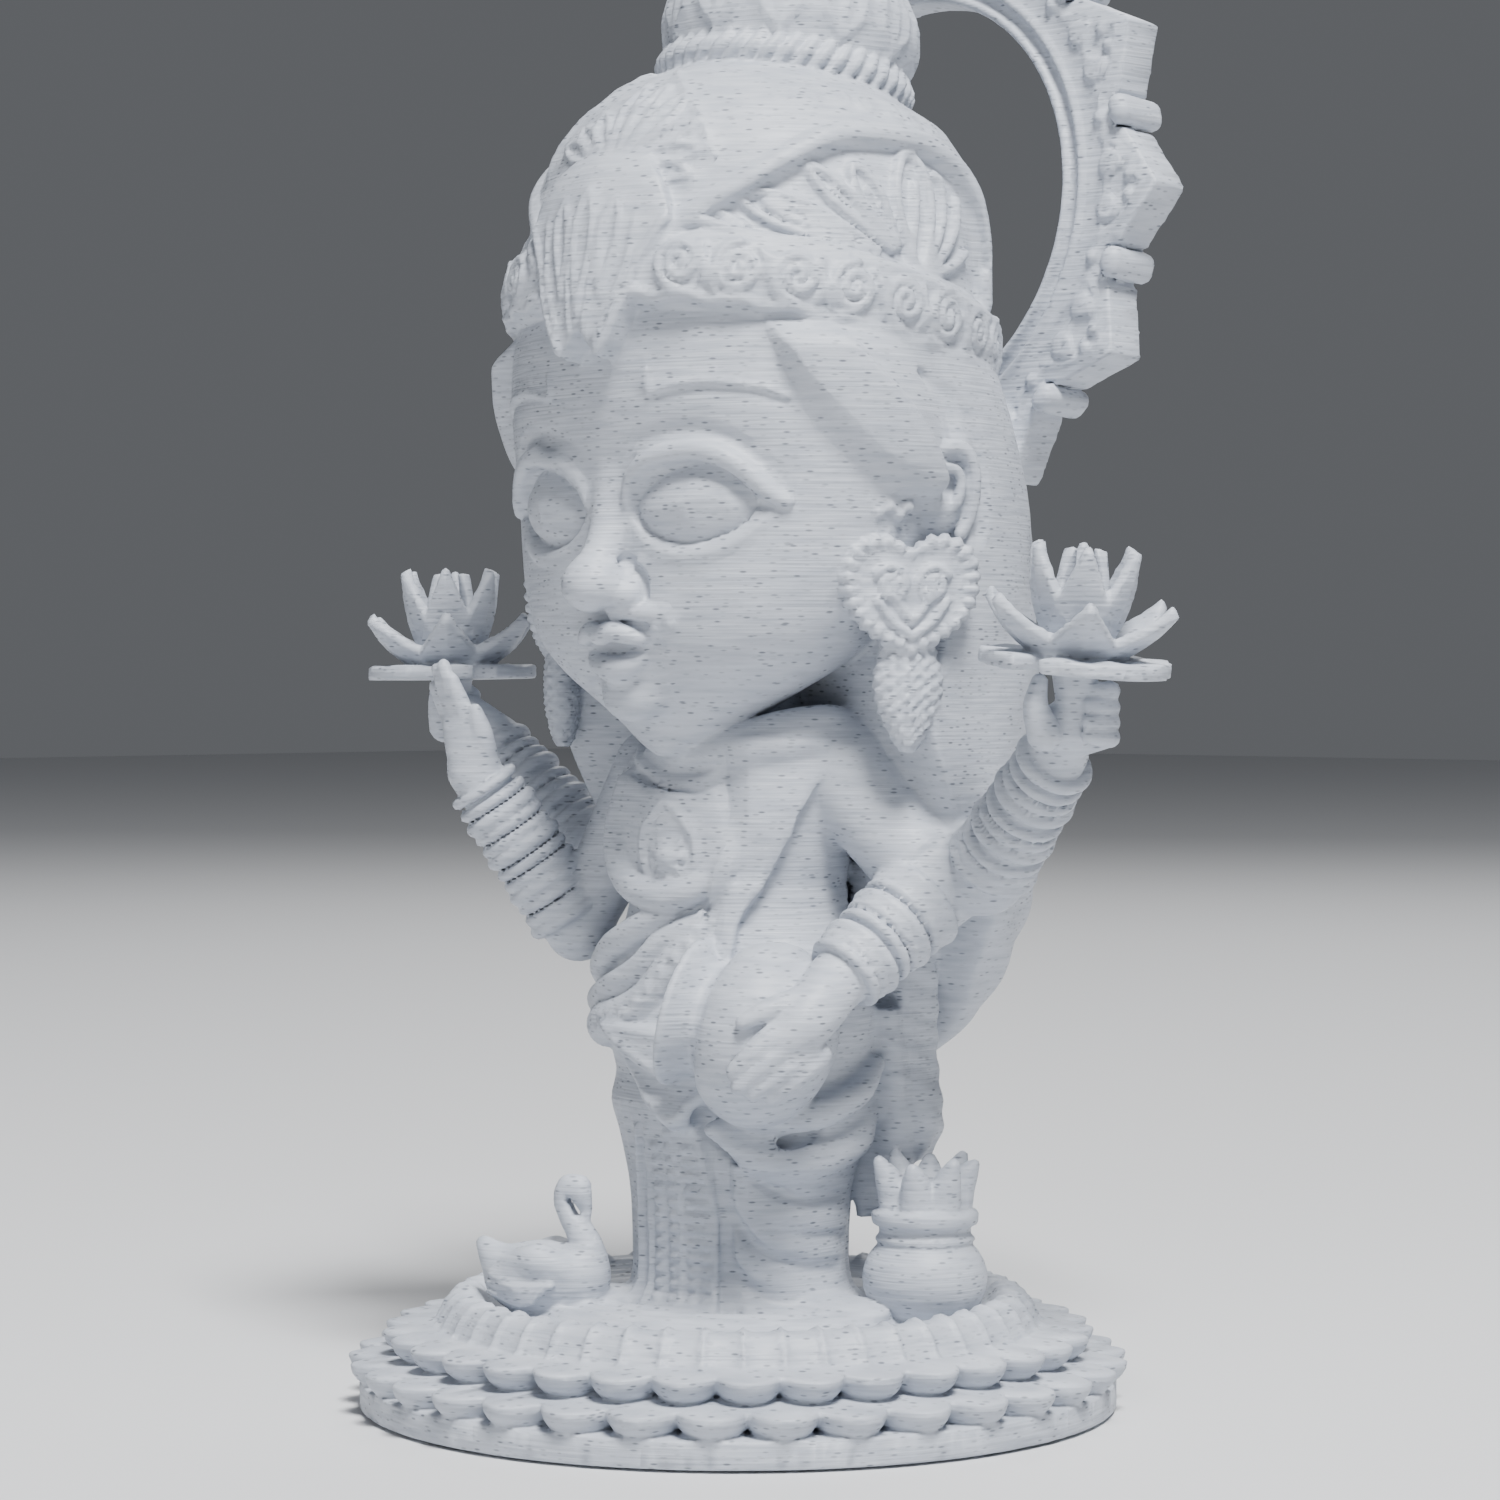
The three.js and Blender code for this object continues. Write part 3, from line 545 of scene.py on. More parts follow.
SKIRT = Stack((
    (9.4, 0.5, 16.4, 14.6, 13.2, 0.5),
    (11.6, 0.5, 15, 13.2, 12.2, 0.5),
    (13.4, 0.3, 13.2, 11.8, 11.2, 0.4),
    (17, 0.2, 12.8, 11.4, 11, 0.3),
    (24, 0.3, 13.2, 11.8, 11.6, 0.3),
    (30, 0.6, 14.8, 12.8, 13, 0.2),
    (33.5, 0.6, 15.8, 13.4, 13.6, 0.1),
    (36.6, 0.6, 15.4, 12.5, 13.8, 0),
    (42, 0.4, 16.8, 12.8, 13.6, -0.2),
    (47, 0.2, 16.2, 12, 12.2, 0),
    (52, 0, 14.2, 11, 10.8, 0),
    (56, 0, 12.6, 9.8, 9.8, 0),
))

TORSO = Stack((
    (48, 0, 14.5, 11, 11, 0),
    (54, 0, 12.8, 9.9, 10, 0),
    (60, 0, 13.8, 10.6, 10.5, 0),
    (66, 0, 15, 10.8, 10.5, 0),
    (71, 0.5, 15, 9.8, 9.5, 0),
    (74, 1, 11.5, 8, 8, 0),
    (76.5, 0, 7.5, 7, 7.5, 0),
    (82, -1, 7, 7, 8, 0),
))


@dataclass
class LotusBase:
    """Round base: foot disc, two rows of petal bowls, a ribbed band and the floor inside it."""

    disc_radius: float = 42
    disc_height: float = 3
    petals: int = 34
    lower_tip: float = 43.3
    lower_top: float = 5.4
    upper_tip: float = 39.5
    upper_top: float = 8.5
    band_radius: float = 33.2
    crest_radius: float = 30.2
    crest_height: float = 12.3
    floor_radius: float = 26.2
    floor_height: float = 10.2
    band_ribs: int = 48

    def petal_row(self, clay: Clay, tip: float, top: float, half: Vec3, shift: float) -> None:
        """Adds one row of bowls with flat tops.

        Args:
            clay: What is sculpted.
            tip: Radius of the bowls' outer ends.
            top: Height of their rims.
            half: Half sizes of a bowl along the radius, round the base and down.
            shift: Turn of the row as a share of the pitch.
        """
        pitch = TAU / self.petals
        centre = tip - half[0]

        def form(x: Array, y: Array, z: Array) -> Array:
            """Gives the distance to the nearest bowl of the row."""
            r = np.hypot(x, y)
            share = np.arctan2(y, x) / pitch + shift
            across = (share - np.round(share)) * pitch * r / half[1]
            out = np.maximum(r - centre, 0) / half[0]
            down = np.minimum(z - top, 0) / half[2]
            q = np.sqrt(across**2 + out**2 + down**2)
            bowl = (q - 1) * min(half)
            rim = z - top - 0.07 * (tip - r)
            return np.maximum(np.maximum(bowl, rim), centre - 5 - r)

        low = top - half[2]
        clay.add(form, ((-tip, -tip, low), (tip, tip, top + 1)))

    def sculpt(self, clay: Clay) -> None:
        """Adds the base to the clay."""
        clay.turn((
            (0, 0),
            (self.disc_radius, 0),
            (self.disc_radius, self.disc_height),
            (36.6, self.disc_height),
            (36.4, 5.7),
            (33.8, 5.9),
            (33.4, 8.8),
            (self.band_radius, 9.2),
            (32.3, 11),
            (31.4, 12),
            (self.crest_radius, self.crest_height),
            (29, 12.1),
            (28, 11.4),
            (self.floor_radius, self.floor_height),
            (0, self.floor_height),
        ))
        self.petal_row(clay, self.lower_tip, self.lower_top, (5.4, 4, 3.3), 0.712)
        self.petal_row(clay, self.upper_tip, self.upper_top, (5.2, 3.75, 3.3), 0.189)
        pitch = TAU / self.band_ribs

        def rib(x: Array, y: Array, z: Array) -> Array:
            """Gives the height of the thin ribs on the band."""
            r = np.hypot(x, y)
            share = np.arctan2(y, x) / pitch
            across = (share - np.round(share)) * pitch * r
            on_band = step_up(z, 8.6, 9.2) * step_up(r, 28.4, 29.4) * step_up(r, 34.4, 33.6)
            return 0.55 * np.exp(-((across / 0.36) ** 2)) * on_band

        clay.swell(rib, ((-35, -35, 8.4), (35, 35, 13.2)))

        def mat(x: Array, y: Array, z: Array) -> Array:
            """Gives the distance to the low wavy cloth that spreads from the hem over the floor."""
            r = np.hypot(x, y)
            angle = np.arctan2(x, -y)
            edge = 21.6 + 2.2 * np.cos(angle - 0.5) + 0.9 * np.sin(5 * angle + 1) + 0.5 * np.sin(11 * angle)
            wave = 0.28 * np.sin(r * 1.9 + 1.4 * np.sin(3 * angle)) * step_up(r, 26, 20)
            thick = (1.1 + 0.5 * np.cos(angle - 0.6)) * step_up(r, edge + 1.5, edge - 3)
            top = self.floor_height + thick + wave
            return np.maximum(z - top, r - edge - 2)

        clay.add(mat, ((-27, -27, 9), (27, 27, 13)), 0.4)


@dataclass
class Dress:
    """Skirt with pleats and swags, apron flaps, diagonal waist rolls, chest plate and shoulder cloth."""

    bead_columns: tuple[float, ...] = (-1.2, 1, 3.3, 4.9)
    bead_pitch: float = 1.5
    bead_foot: float = 12.6
    pleat_edges: tuple[float, ...] = (-40, -29, -19, 31, 37)
    pleat_ridges: tuple[float, ...] = (-26, -14, 10.5, 30)
    side_folds: tuple[float, ...] = (-100, -84, -70, -56, 120, 136, 152, 168, 184, 200, 216, 232, 246)
    swags: tuple = (
        ((31, 31.6), (45, 30), (60, 27.8), (76, 26.6), (92, 27.4), (108, 30)),
        ((35, 29.6), (45, 26.9), (60, 24.8), (76, 23.5), (100, 24.1)),
        ((36, 27.6), (42, 24.5), (51, 21.5), (64, 20), (80, 19.4), (107, 18.9)),
        ((34, 25.6), (39, 22.6), (48, 19.5), (58, 17.6), (75, 16.4), (98, 15.8)),
        ((28, 22.5), (34, 18.5), (42, 15.6), (54, 13.6), (72, 12.6)),
    )
    drape_inner: tuple = ((47, 30), (56, 30), (60, 34), (62, 38), (65, 42), (68, 42), (75, 40))
    drape_outer: tuple = ((47, 38), (53.6, 43), (55.3, 47), (57, 53), (59, 58), (61.2, 62), (63.3, 66),
                          (65.5, 68), (67.1, 72), (70, 77), (75, 82))
    lower_flap: tuple = ((-9.6, 43), (-6.8, 40.4), (-4, 37.2), (-0.8, 34.4), (1.6, 32.6), (3.6, 31),
                         (5.7, 32.3), (6.6, 34), (9, 35.4), (11, 42))
    upper_flap: tuple = ((-9.6, 45), (-7.4, 41.6), (-4.5, 39.6), (-1.1, 38.2), (1.7, 37), (5.4, 36.9),
                         (8.4, 37.4), (11, 45))
    upper_roll: tuple = ((-80, 46.6), (-60, 48.4), (-46, 50.3), (-28, 52), (-9, 53.9), (3, 55))
    lower_roll: tuple = ((-80, 43.6), (-60, 44.4), (-46, 45.6), (-20, 48.1), (-3, 51.1), (10, 52.6),
                         (19, 53.5))
    wide_roll: tuple = ((-90, 41.4), (-70, 41.2), (-46, 42), (-27, 42.8), (-8.5, 44.8), (6, 48.4), (18, 51),
                        (26, 53.2))
    pot_shadow: tuple = ((20, 34.8), (24, 33.2), (29, 31.6), (37, 29.9), (47, 29), (57, 29.3), (72, 31.2),
                         (84, 33.4))

    def skirt(self, clay: Clay) -> None:
        """Adds the skirt and everything worked on it."""
        clay.add(SKIRT.distance, SKIRT.box(), 1.2)
        clay.add(TORSO.distance, TORSO.box(), 2.5)
        for swag in self.swags:
            low = [(a, z - 0.2) for a, z in swag]
            high = [(a, z + 1.9) for a, z in swag]
            clay.line(SKIRT.path(high, -1.1), (0.9, 1.9, 1.9, 1.5, 0.8), 1.4)
            clay.line(SKIRT.path(low, 0.35), (0.3, 0.85, 0.9, 0.7), 0.6, Surface.CARVED)
        for edge in self.pleat_edges:
            lean = -0.12 * edge
            pleat = ((edge + lean, 33), (edge, 24), (edge * 1.02, 16), (edge * 1.1, 11.4))
            clay.line(SKIRT.path(pleat, 0.25), (0.3, 0.55, 0.55, 0.5), 0.8, Surface.CARVED)
        for edge in self.side_folds:
            wander = 3 * math.sin(edge)
            fold = ((edge, 34), (edge + wander, 25), (edge - wander, 17), (edge, 11.4))
            clay.line(SKIRT.path(fold, 0.3), (0.3, 0.7, 0.8, 0.6), 1.2, Surface.CARVED)
        for column in self.bead_columns:
            z = self.bead_foot
            while z < 31 - abs(column - 1) * 0.4:
                spread = 1 + 0.1 * (24 - z) / 12
                clay.ball(SKIRT.point(math.degrees(column / 12) * spread, z, 0.05), (0.75, 0.6, 0.55), 0.35)
                z += self.bead_pitch
        for edge in self.pleat_ridges:
            clay.line(SKIRT.path(((edge * 0.7, 31), (edge, 22), (edge, 12)), 0.1), 0.38, 0.5)

    def apron(self, clay: Clay) -> None:
        """Adds the two pointed flaps under the waist."""

        def flap(corners: Places, thick: float, bottom: float) -> None:
            """Raises the front of the skirt inside an outline given as x and height."""

            def height(x: Array, y: Array, z: Array) -> Array:
                """Gives how far the flap stands out of the skirt."""
                inside = outline_distance(x, z, corners)
                rim = 0.35 * np.exp(-(((inside + 0.9) / 0.4) ** 2))
                flare = 1 + 0.05 * (42 - z)
                raised = step_up(inside, 0.35, -0.35) * thick * flare + rim * step_up(z, 44, 40)
                return raised * step_up(y, -3, -8)

            clay.swell(height, ((-14, -19, bottom - 1), (13, -2, 46)))

        flap(self.lower_flap, 1.5, 30)
        flap(self.upper_flap, 1.3, 36)

    def rolls(self, clay: Clay) -> None:
        """Adds the diagonal rolls of cloth round the waist."""
        for path, back, radii, out in (
            (self.upper_roll, 47, (1.2, 1.5, 1.8, 1.8, 1.8, 1.7, 1.2), 1),
            (self.lower_roll, 43.8, (1.4, 1.8, 2, 2.1, 1.8, 1.6, 1.5, 1.3), 0.3),
            (self.wide_roll, 41.6, (1.6, 2, 2.3, 2.4, 2.6, 2.7, 2.6, 2.2, 1.5), -0.4),
        ):
            behind = [(a, back) for a in range(-190, -99, 30)]
            clay.line(SKIRT.path((*behind, *path), out), radii, 0.2)
        for middle in evenly(SKIRT.path(self.wide_roll[2:], 2), 2.3, 1):
            self.rosette(clay, middle, 1.05)
        for lift in (-1.7, 1.7):
            rim = [(a - 0.8 * lift, z + lift) for a, z in self.wide_roll[2:]]
            clay.line(SKIRT.path(rim, 1.3), 0.4, 0.3)

    def rosette(self, clay: Clay, middle: Array, radius: float) -> None:
        """Raises a small ring with a dot in it on the surface.

        Args:
            clay: What is sculpted.
            middle: The rosette's middle.
            radius: Radius of the ring.
        """

        def height(x: Array, y: Array, z: Array) -> Array:
            """Gives the height of the ring and the dot."""
            off = np.sqrt((x - middle[0]) ** 2 + (y - middle[1]) ** 2 + (z - middle[2]) ** 2)
            return 0.32 * np.exp(-(((off - radius) / 0.34) ** 2)) + 0.3 * np.exp(-((off / 0.4) ** 2))

        clay.swell(height, (middle - 2, middle + 2))

    def chest(self, clay: Clay) -> None:
        """Adds the necklace plate with its jewel, the collar and the cloth over her left shoulder."""
        plate = ((-9, 70.4), (-10.6, 66), (-9.8, 62), (-7.6, 58.6), (-4.4, 56.4), (-1, 55.4), (2.6, 55.4),
                 (5.4, 56.6), (7, 59.6), (8, 62.6), (8.1, 65), (7.5, 67.4), (6.2, 69.6), (4.4, 68.8),
                 (0.7, 68.4), (-3, 69))

        def raised(x: Array, y: Array, z: Array) -> Array:
            """Gives how far the necklace plate stands out of the chest."""
            inside = outline_distance(x, z, plate)
            return 1.15 * step_up(inside, 0.3, -0.6) * step_up(y, -2, -6)

        clay.swell(raised, ((-13, -16, 54), (10, -1, 73)))
        roll = ((-8.8, -8.6, 68.6), (-9.4, -9, 65), (-9.2, -9.4, 62), (-7.8, -10, 59), (-4.8, -10.9, 57.2),
                (-1, -11.3, 56.6), (3, -11.1, 57), (5.4, -10.4, 58.6), (7, -9.8, 61.4), (7.4, -9.4, 64.6))
        clay.curve(roll, (1.3, 1.7, 1.9, 1.9, 1.9, 1.8, 1.5, 1, 0.6), 0.5)
        drop = [TORSO.front(x, z, 1.15) for x, z in (
            (0.4, 67), (-2.2, 64.8), (-3.5, 62), (-2.8, 59.4), (0.6, 58.6), (3.8, 59.6), (4.6, 62.2),
            (3, 65), (0.4, 67))]
        clay.curve(drop, 0.45, 0.5)
        clay.ball((0.7, -11.6, 60.9), (1.9, 1.3, 1.9), 0.3)
        for i in range(9):
            a = i / 9 * TAU
            clay.ball((0.7 + 2.2 * math.cos(a), -11.7, 60.9 + 2.2 * math.sin(a)), 0.6, 0.25)
        collar = ((-9.4, -5.6, 72.4), (-6.7, -8.4, 70.8), (-2.6, -9.6, 69.3), (0.7, -9.9, 68.8),
                  (4.4, -9.8, 69.2), (6.3, -9, 70.2))
        clay.curve(collar, 0.7, 0.6)
        neckline = [(x, y - 0.9, z - 1) for x, y, z in collar[1:]]
        clay.curve(neckline, 0.4, 0.4, Surface.CARVED)
        shoulder = ((-6, -7.2, 72.2), (0, -8.6, 71.8), (6, -8.4, 72.6), (11, -5, 74.4), (13.6, 0, 75.2),
                    (12, 6.6, 74.6))
        clay.curve(shoulder, (1, 1.8, 2.2, 2.4, 2.3, 2), 0.8)
        rim = [(x * 1.03, y - 0.9, z + 1.5) for x, y, z in shoulder[1:]]
        clay.curve(rim, 0.4, 0.3)
        inner = np.array(self.drape_inner)
        outer = np.array(self.drape_outer)

        def drape(x: Array, y: Array, z: Array) -> Array:
            """Gives how far the broad cloth from her left shoulder stands out of the chest."""
            angle = np.degrees(np.arctan2(x, -y))
            at_inner, at_outer = (np.interp(z, line[:, 0], line[:, 1]) for line in (inner, outer))
            rise = step_up(angle, at_inner, at_inner + 8)
            across = step_up(angle, at_inner - 3, at_inner) * step_up(angle, at_outer + 2.5, at_outer)
            return (0.7 + 0.9 * rise) * across * step_up(z, 47, 50) * step_up(z, 75, 73)

        clay.swell(drape, ((2, -17, 47), (19, 6, 75)))

    def sash(self, clay: Clay) -> None:
        """Adds the two hanging folds of cloth at her left hip."""
        fringe = Stack((
            (26.8, 12.6, 1.6, 1.3, 1.4, 14.6),
            (28.4, 12.7, 3, 2.2, 2.2, 14.5),
            (31, 12.8, 4.4, 2.6, 2.6, 14.4),
            (38, 12.4, 3.6, 2.6, 2.6, 14),
            (46, 11.8, 3.8, 3, 3, 14),
            (52, 10.8, 4, 3.4, 3.4, 13.6),
            (60, 9.2, 3.4, 3.2, 3.2, 13),
        ), relief=lambda a, z: 0.5 * np.cos(4 * a + 0.08 * z) + 0.12 * np.sin(z * 1.9 + 3 * a))
        flare = Stack((
            (20.4, 10.6, 1.4, 1.4, 1.4, 10.6),
            (22.4, 10.8, 3, 2.2, 2.2, 10.9),
            (26, 11, 4.4, 3.2, 3.2, 11.4),
            (32, 10.4, 5, 4, 4, 11.6),
            (44, 8.6, 5, 4, 4, 11),
        ), relief=lambda a, z: 0.6 * np.cos(4 * a + 1) + 0.1 * np.sin(z * 1.7 + 2 * a))
        for fold in (fringe, flare):
            clay.add(fold.distance, fold.box(), 0.6)
        hip = ((9, -12.4, 35.6), (12, -9.5, 33.2), (15.4, -4, 33.2), (16.6, 1.6, 35.2), (15.8, 5.4, 38))
        clay.curve(hip, (0.8, 1.6, 1.8, 1.5, 1), 1.2)
        seat = ((8, -12.2, 31.6), (11.4, -8.6, 28.8), (14.2, -3, 28.2), (14.8, 3, 29.6), (14, 6, 32))
        clay.curve(seat, (1, 1.9, 2, 1.8, 1), 1.4)
        clay.line(SKIRT.path(self.pot_shadow, 0.2), (0.5, 1.2, 1.5, 1.6, 1.6, 1.4, 1, 0.5), 0.3,
                  Surface.CARVED)

    def feet(self, clay: Clay) -> None:
        """Adds the toes that show under the hem."""
        clay.ball((15.6, -0.4, 11.6), (7, 4.2, 1.7), 0.9, (("z", -6),))
        clay.ball((-9.6, -11.6, 11.4), (4.2, 6, 1.7), 0.9, (("z", -28),))

    def sculpt(self, clay: Clay) -> None:
        """Adds the whole dress to the clay."""
        self.skirt(clay)
        self.apron(clay)
        self.rolls(clay)
        self.chest(clay)
        self.sash(clay)
        self.feet(clay)


@dataclass
class Face:
    """Doll-like head: lidded eyes, thin brows, button nose with a ring, small lips, side locks and ears."""

    ball_edge: tuple = ((3.5, 99), (4.9, 100.6), (7, 102), (9.2, 102.9), (11.3, 103.3), (12.9, 103.3),
                        (14.6, 102.7), (16.2, 101.5), (17.2, 100.1), (17.6, 98.4), (16.8, 97.1),
                        (15.2, 95.9), (12, 94.8), (9.4, 94.6), (7.1, 95.1), (5.1, 96.2), (3.9, 97.5))
    iris: tuple[float, float] = (13.2, 98.6)
    iris_radius: float = 2.45
    lock_edge: tuple = ((98, 92), (99.3, 83), (100.3, 78), (101.9, 74), (103.1, 71), (105.2, 66), (107, 62),
                        (109.1, 59), (112.2, 56), (114.9, 53), (119, 48))
    lock_rib: tuple = ((98, 93), (101.5, 86), (103.9, 77), (105.5, 73), (107.5, 69), (109.4, 65),
                       (111.7, 60.5), (114.6, 56), (119, 50))
    lock_back: tuple = ((98, 94), (102.1, 91.5), (104.2, 89), (106.8, 85), (109.9, 79.5), (114, 71),
                        (119, 62))
    lock_thick: float = 3.3
    lock_rib_share: float = 0.72

    def eye(self, clay: Clay, side: int) -> None:
        """Adds one eye with its lids and brow."""

        def ball(x: Array, y: Array, z: Array) -> Array:
            """Gives the height of the eyeball: sunk at the edge of its outline and domed in the middle."""
            inside = outline_distance(side * x, z, self.ball_edge)
            dome = -1.5 + 2.9 * np.sqrt(np.clip(-inside / 4.4, 0, 1))
            off = np.hypot(side * x - self.iris[0], z - self.iris[1])
            rings = 0.2 * np.exp(-(((off - self.iris_radius) / 0.26) ** 2)) - 0.16 * step_up(off, 1.3, 0.8)
            return (dome + rings) * step_up(inside, 0.2, -0.2) * step_up(y, -4, -10)

        low, high = sorted((side * 2.5, side * 18.8))
        clay.swell(ball, ((low, -26, 93.5), (high, -6, 104.5)))
        upper_lid = ((2.9, 99.2), (3.9, 101.7), (6.4, 103.6), (9.6, 104.4), (12.2, 104.6), (14.8, 104),
                     (16.8, 102.7), (18.2, 101.2), (19.4, 99.8), (20.8, 98.9))
        fold = ((2.2, 103.4), (5.2, 105.7), (8.6, 106.7), (11.8, 106.9), (14.9, 106.4), (17.4, 104.9),
                (19.2, 103.1), (20.9, 101))
        corner = ((17.6, 99.2), (18.8, 98.5), (20, 98))
        lower_lid = ((19.2, 97.9), (17.7, 96.2), (15.6, 94.7), (13, 93.7), (10, 93.3), (7, 94), (4.6, 95.4),
                     (3.1, 97.4))
        brow = ((7.6, 113.2), (7.3, 111.6), (8, 110.9), (10.1, 111.3), (13.2, 111.7), (16.8, 111.5),
                (19.3, 111), (21.4, 110))
        under_brow = [(x, z - 0.75) for x, z in brow[2:]]
        for places, out, radii, blend, surface in (
            (upper_lid, 0.2, (0.5, 0.9, 1.1, 1.15, 1.15, 1.1, 1, 0.6), 0.3, Surface.RAISED),
            (fold, 0.3, (0.25, 0.65, 0.75, 0.75, 0.6, 0.25), 0.7, Surface.CARVED),
            (corner, 0, (0.6, 0.5, 0.2), 0.4, Surface.CARVED),
            (lower_lid, -0.25, (0.3, 0.65, 0.7, 0.65, 0.5, 0.4), 0.6, Surface.RAISED),
            (brow, -0.1, (0.45, 0.5, 0.5, 0.35), 0.2, Surface.RAISED),
            (under_brow, 0.2, 0.35, 0.5, Surface.CARVED),
        ):
            path = [HEAD.front(side * x, z, out) for x, z in smooth_path(places)]
            clay.line(path, radii, blend, surface)

    def nose(self, clay: Clay) -> None:
        """Adds the nose and its ring with three beads."""
        bridge = ((0, -18.9, 101), (0, -19.9, 97), (0, -21.2, 93.6), (0, -22.4, 91.2))
        clay.curve(bridge, (1.8, 1.9, 2.1, 2.5), 2.2)
        clay.ball((0, -22.6, 90.4), (3.5, 3.2, 3), 0.9)
        for side in (-1, 1):
            clay.ball((side * 3, -20.4, 89.3), (1.9, 1.9, 1.8), 0.8)
            clay.ball((side * 1.7, -21.8, 87.1), (1.1, 1.5, 1), 0.4, (), Surface.CARVED)
        wing = ((1, -20.9, 92.6), (2.6, -20.5, 93.1), (4, -19.9, 92.5), (5, -19.6, 91), (5.2, -19.5, 89.2))
        clay.curve(wing, (0.25, 0.5, 0.55, 0.45), 0.5, Surface.CARVED)
        ring = ((4.4, -19.8, 93), (5.8, -19.3, 92), (6.5, -19, 90.2), (6.4, -19, 88.4))
        clay.curve(ring, 0.45, 0.3)
        clay.curve(((1.4, -20.6, 87.4), (3.4, -20.1, 87.5), (5.4, -19.6, 87.3), (7.2, -19, 87.3)),
                   (0.85, 0.95, 1, 0.9), 0.3)
        beads = (((7.6, -18.7, 87.6), 0.95), ((7.9, -18.5, 86.3), 0.9), ((6.3, -19.1, 85.9), 0.85))
        for centre, radius in beads:
            clay.ball(centre, radius, 0.25)
        clay.curve(((1.6, -20.4, 86), (3.6, -20, 86.1), (5.2, -19.5, 86)), 0.35, 0.3, Surface.CARVED)

    def lips(self, clay: Clay) -> None:
        """Adds the lips, their parting, the chin and the dimples beside the mouth."""
        upper = ((-5.6, 84, -0.2), (-3.6, 84.8, 0.7), (-1.5, 85.4, 1.6), (0, 85, 1.7), (1.5, 85.4, 1.6),
                 (3.6, 84.8, 0.7), (5.6, 84, -0.2))
        lower = ((-4.6, 82.9, -0.3), (-2.4, 81.9, 0.9), (0, 81.5, 1.5), (2.4, 81.9, 0.9), (4.6, 82.9, -0.3))
        parting = ((-5.6, 83.6, 0.6), (-2.4, 83.4, 1.7), (0, 83.2, 2.2), (2.4, 83.4, 1.7), (5.6, 83.6, 0.6))
        for places, radii, blend, surface in (
            (upper, (0.5, 1, 1.15, 1.15, 1.15, 1, 0.5), 0.3, Surface.RAISED),
            (lower, (0.5, 1.1, 1.3, 1.1, 0.5), 0.35, Surface.RAISED),
            (parting, 0.5, 0.2, Surface.CARVED),
        ):
            clay.curve([HEAD.front(*place) for place in places], radii, blend, surface)
        clay.ball((0, -16.4, 78.4), (4, 2.4, 2.8), 2.4)
        for side in (-1, 1):
            clay.ball(HEAD.front(side * 5.8, 83.6, 0.4), (0.8, 0.8, 0.9), 0.9, (), Surface.CARVED)

    def lock(self, clay: Clay, side: int) -> None:
        """Adds one leaf-shaped lock of hair with a sharp midrib, in front of the ear."""
        lines = (self.lock_edge, self.lock_rib, self.lock_back)
        edge, rib, back = (np.array(line, float) for line in lines)

        def height(x: Array, y: Array, z: Array) -> Array:
            """Gives how far the lock stands out of the head."""
            angle = np.degrees(np.arctan2(side * x, -y))
            at_edge, at_rib, at_back = (np.interp(z, line[:, 0], line[:, 1]) for line in (edge, rib, back))
            front = self.lock_rib_share * (angle - at_edge) / np.maximum(at_rib - at_edge, 0.5)
            rest = 1 - self.lock_rib_share
            rear = self.lock_rib_share + rest * (angle - at_rib) / np.maximum(at_back - at_rib, 0.5)
            near_back = step_up(angle, at_back + 4, at_back)
            past = 0.55 * near_back + 0.45 * step_up(angle, at_back + 22, at_back)
            lift = np.where(angle < at_rib, front, np.where(angle < at_back, rear, past))
            return self.lock_thick * np.clip(lift, 0, 1) * step_up(z, 98.2, 101.5) * step_up(z, 119, 115)

        low, high = sorted((side * 10, side * 32))
        clay.swell(height, ((low, -24, 98.2), (high, 12, 119)))

    def ear(self, clay: Clay, side: int) -> None:
        """Adds one ear, the beads at the lock's tip, and the crease where the hair meets it."""
        clay.ball((side * 26.2, 4, 100.6), (2.2, 3.6, 5), 0.8)
        helix = ((27, 1, 103), (27.6, 2.1, 104.6), (28.4, 3.8, 105.2), (28.9, 5.4, 104.6), (29, 6.3, 102.8),
                 (28.9, 6.6, 100.4), (28.4, 6.5, 97.8), (28, 5.4, 95.8))
        clay.curve(on_side(helix, side), (0.6, 0.85, 0.9, 0.85, 0.7), 0.35)
        clay.ball((side * 28.8, 3.8, 101.4), (1.4, 1.9, 2.6), 0.5, (), Surface.CARVED)
        antihelix = ((28, 2.8, 102.8), (28.4, 4.3, 102.7), (28.5, 5, 101.2), (28.3, 4.6, 99.2))
        clay.curve(on_side(antihelix, side), 0.6, 0.35)
        for centre in ((25.4, -6.6, 99), (26.1, -5.6, 98), (26.6, -4.4, 98.6), (26.9, -3.2, 97.8),
                       (27.1, -2, 98.6)):
            clay.ball((side * centre[0], *centre[1:]), 0.75, 0.2)
        crease = ((26, -3, 114), (27.4, 1, 112.2), (28.2, 5, 110), (28.8, 7.6, 106.6), (28.9, 8.4, 103.4),
                  (28.9, 8.6, 100), (28.8, 7.9, 96))
        clay.curve(on_side(crease, side), (0.3, 0.5, 0.8, 1, 1, 0.8), 0.9, Surface.CARVED)

    def sculpt(self, clay: Clay) -> None:
        """Adds the head to the clay."""
        clay.add(HEAD.distance, HEAD.box(), 0.8)
        self.nose(clay)
        self.lips(clay)
        for side in Side:
            self.eye(clay, side.value)
            self.lock(clay, side.value)
            self.ear(clay, side.value)


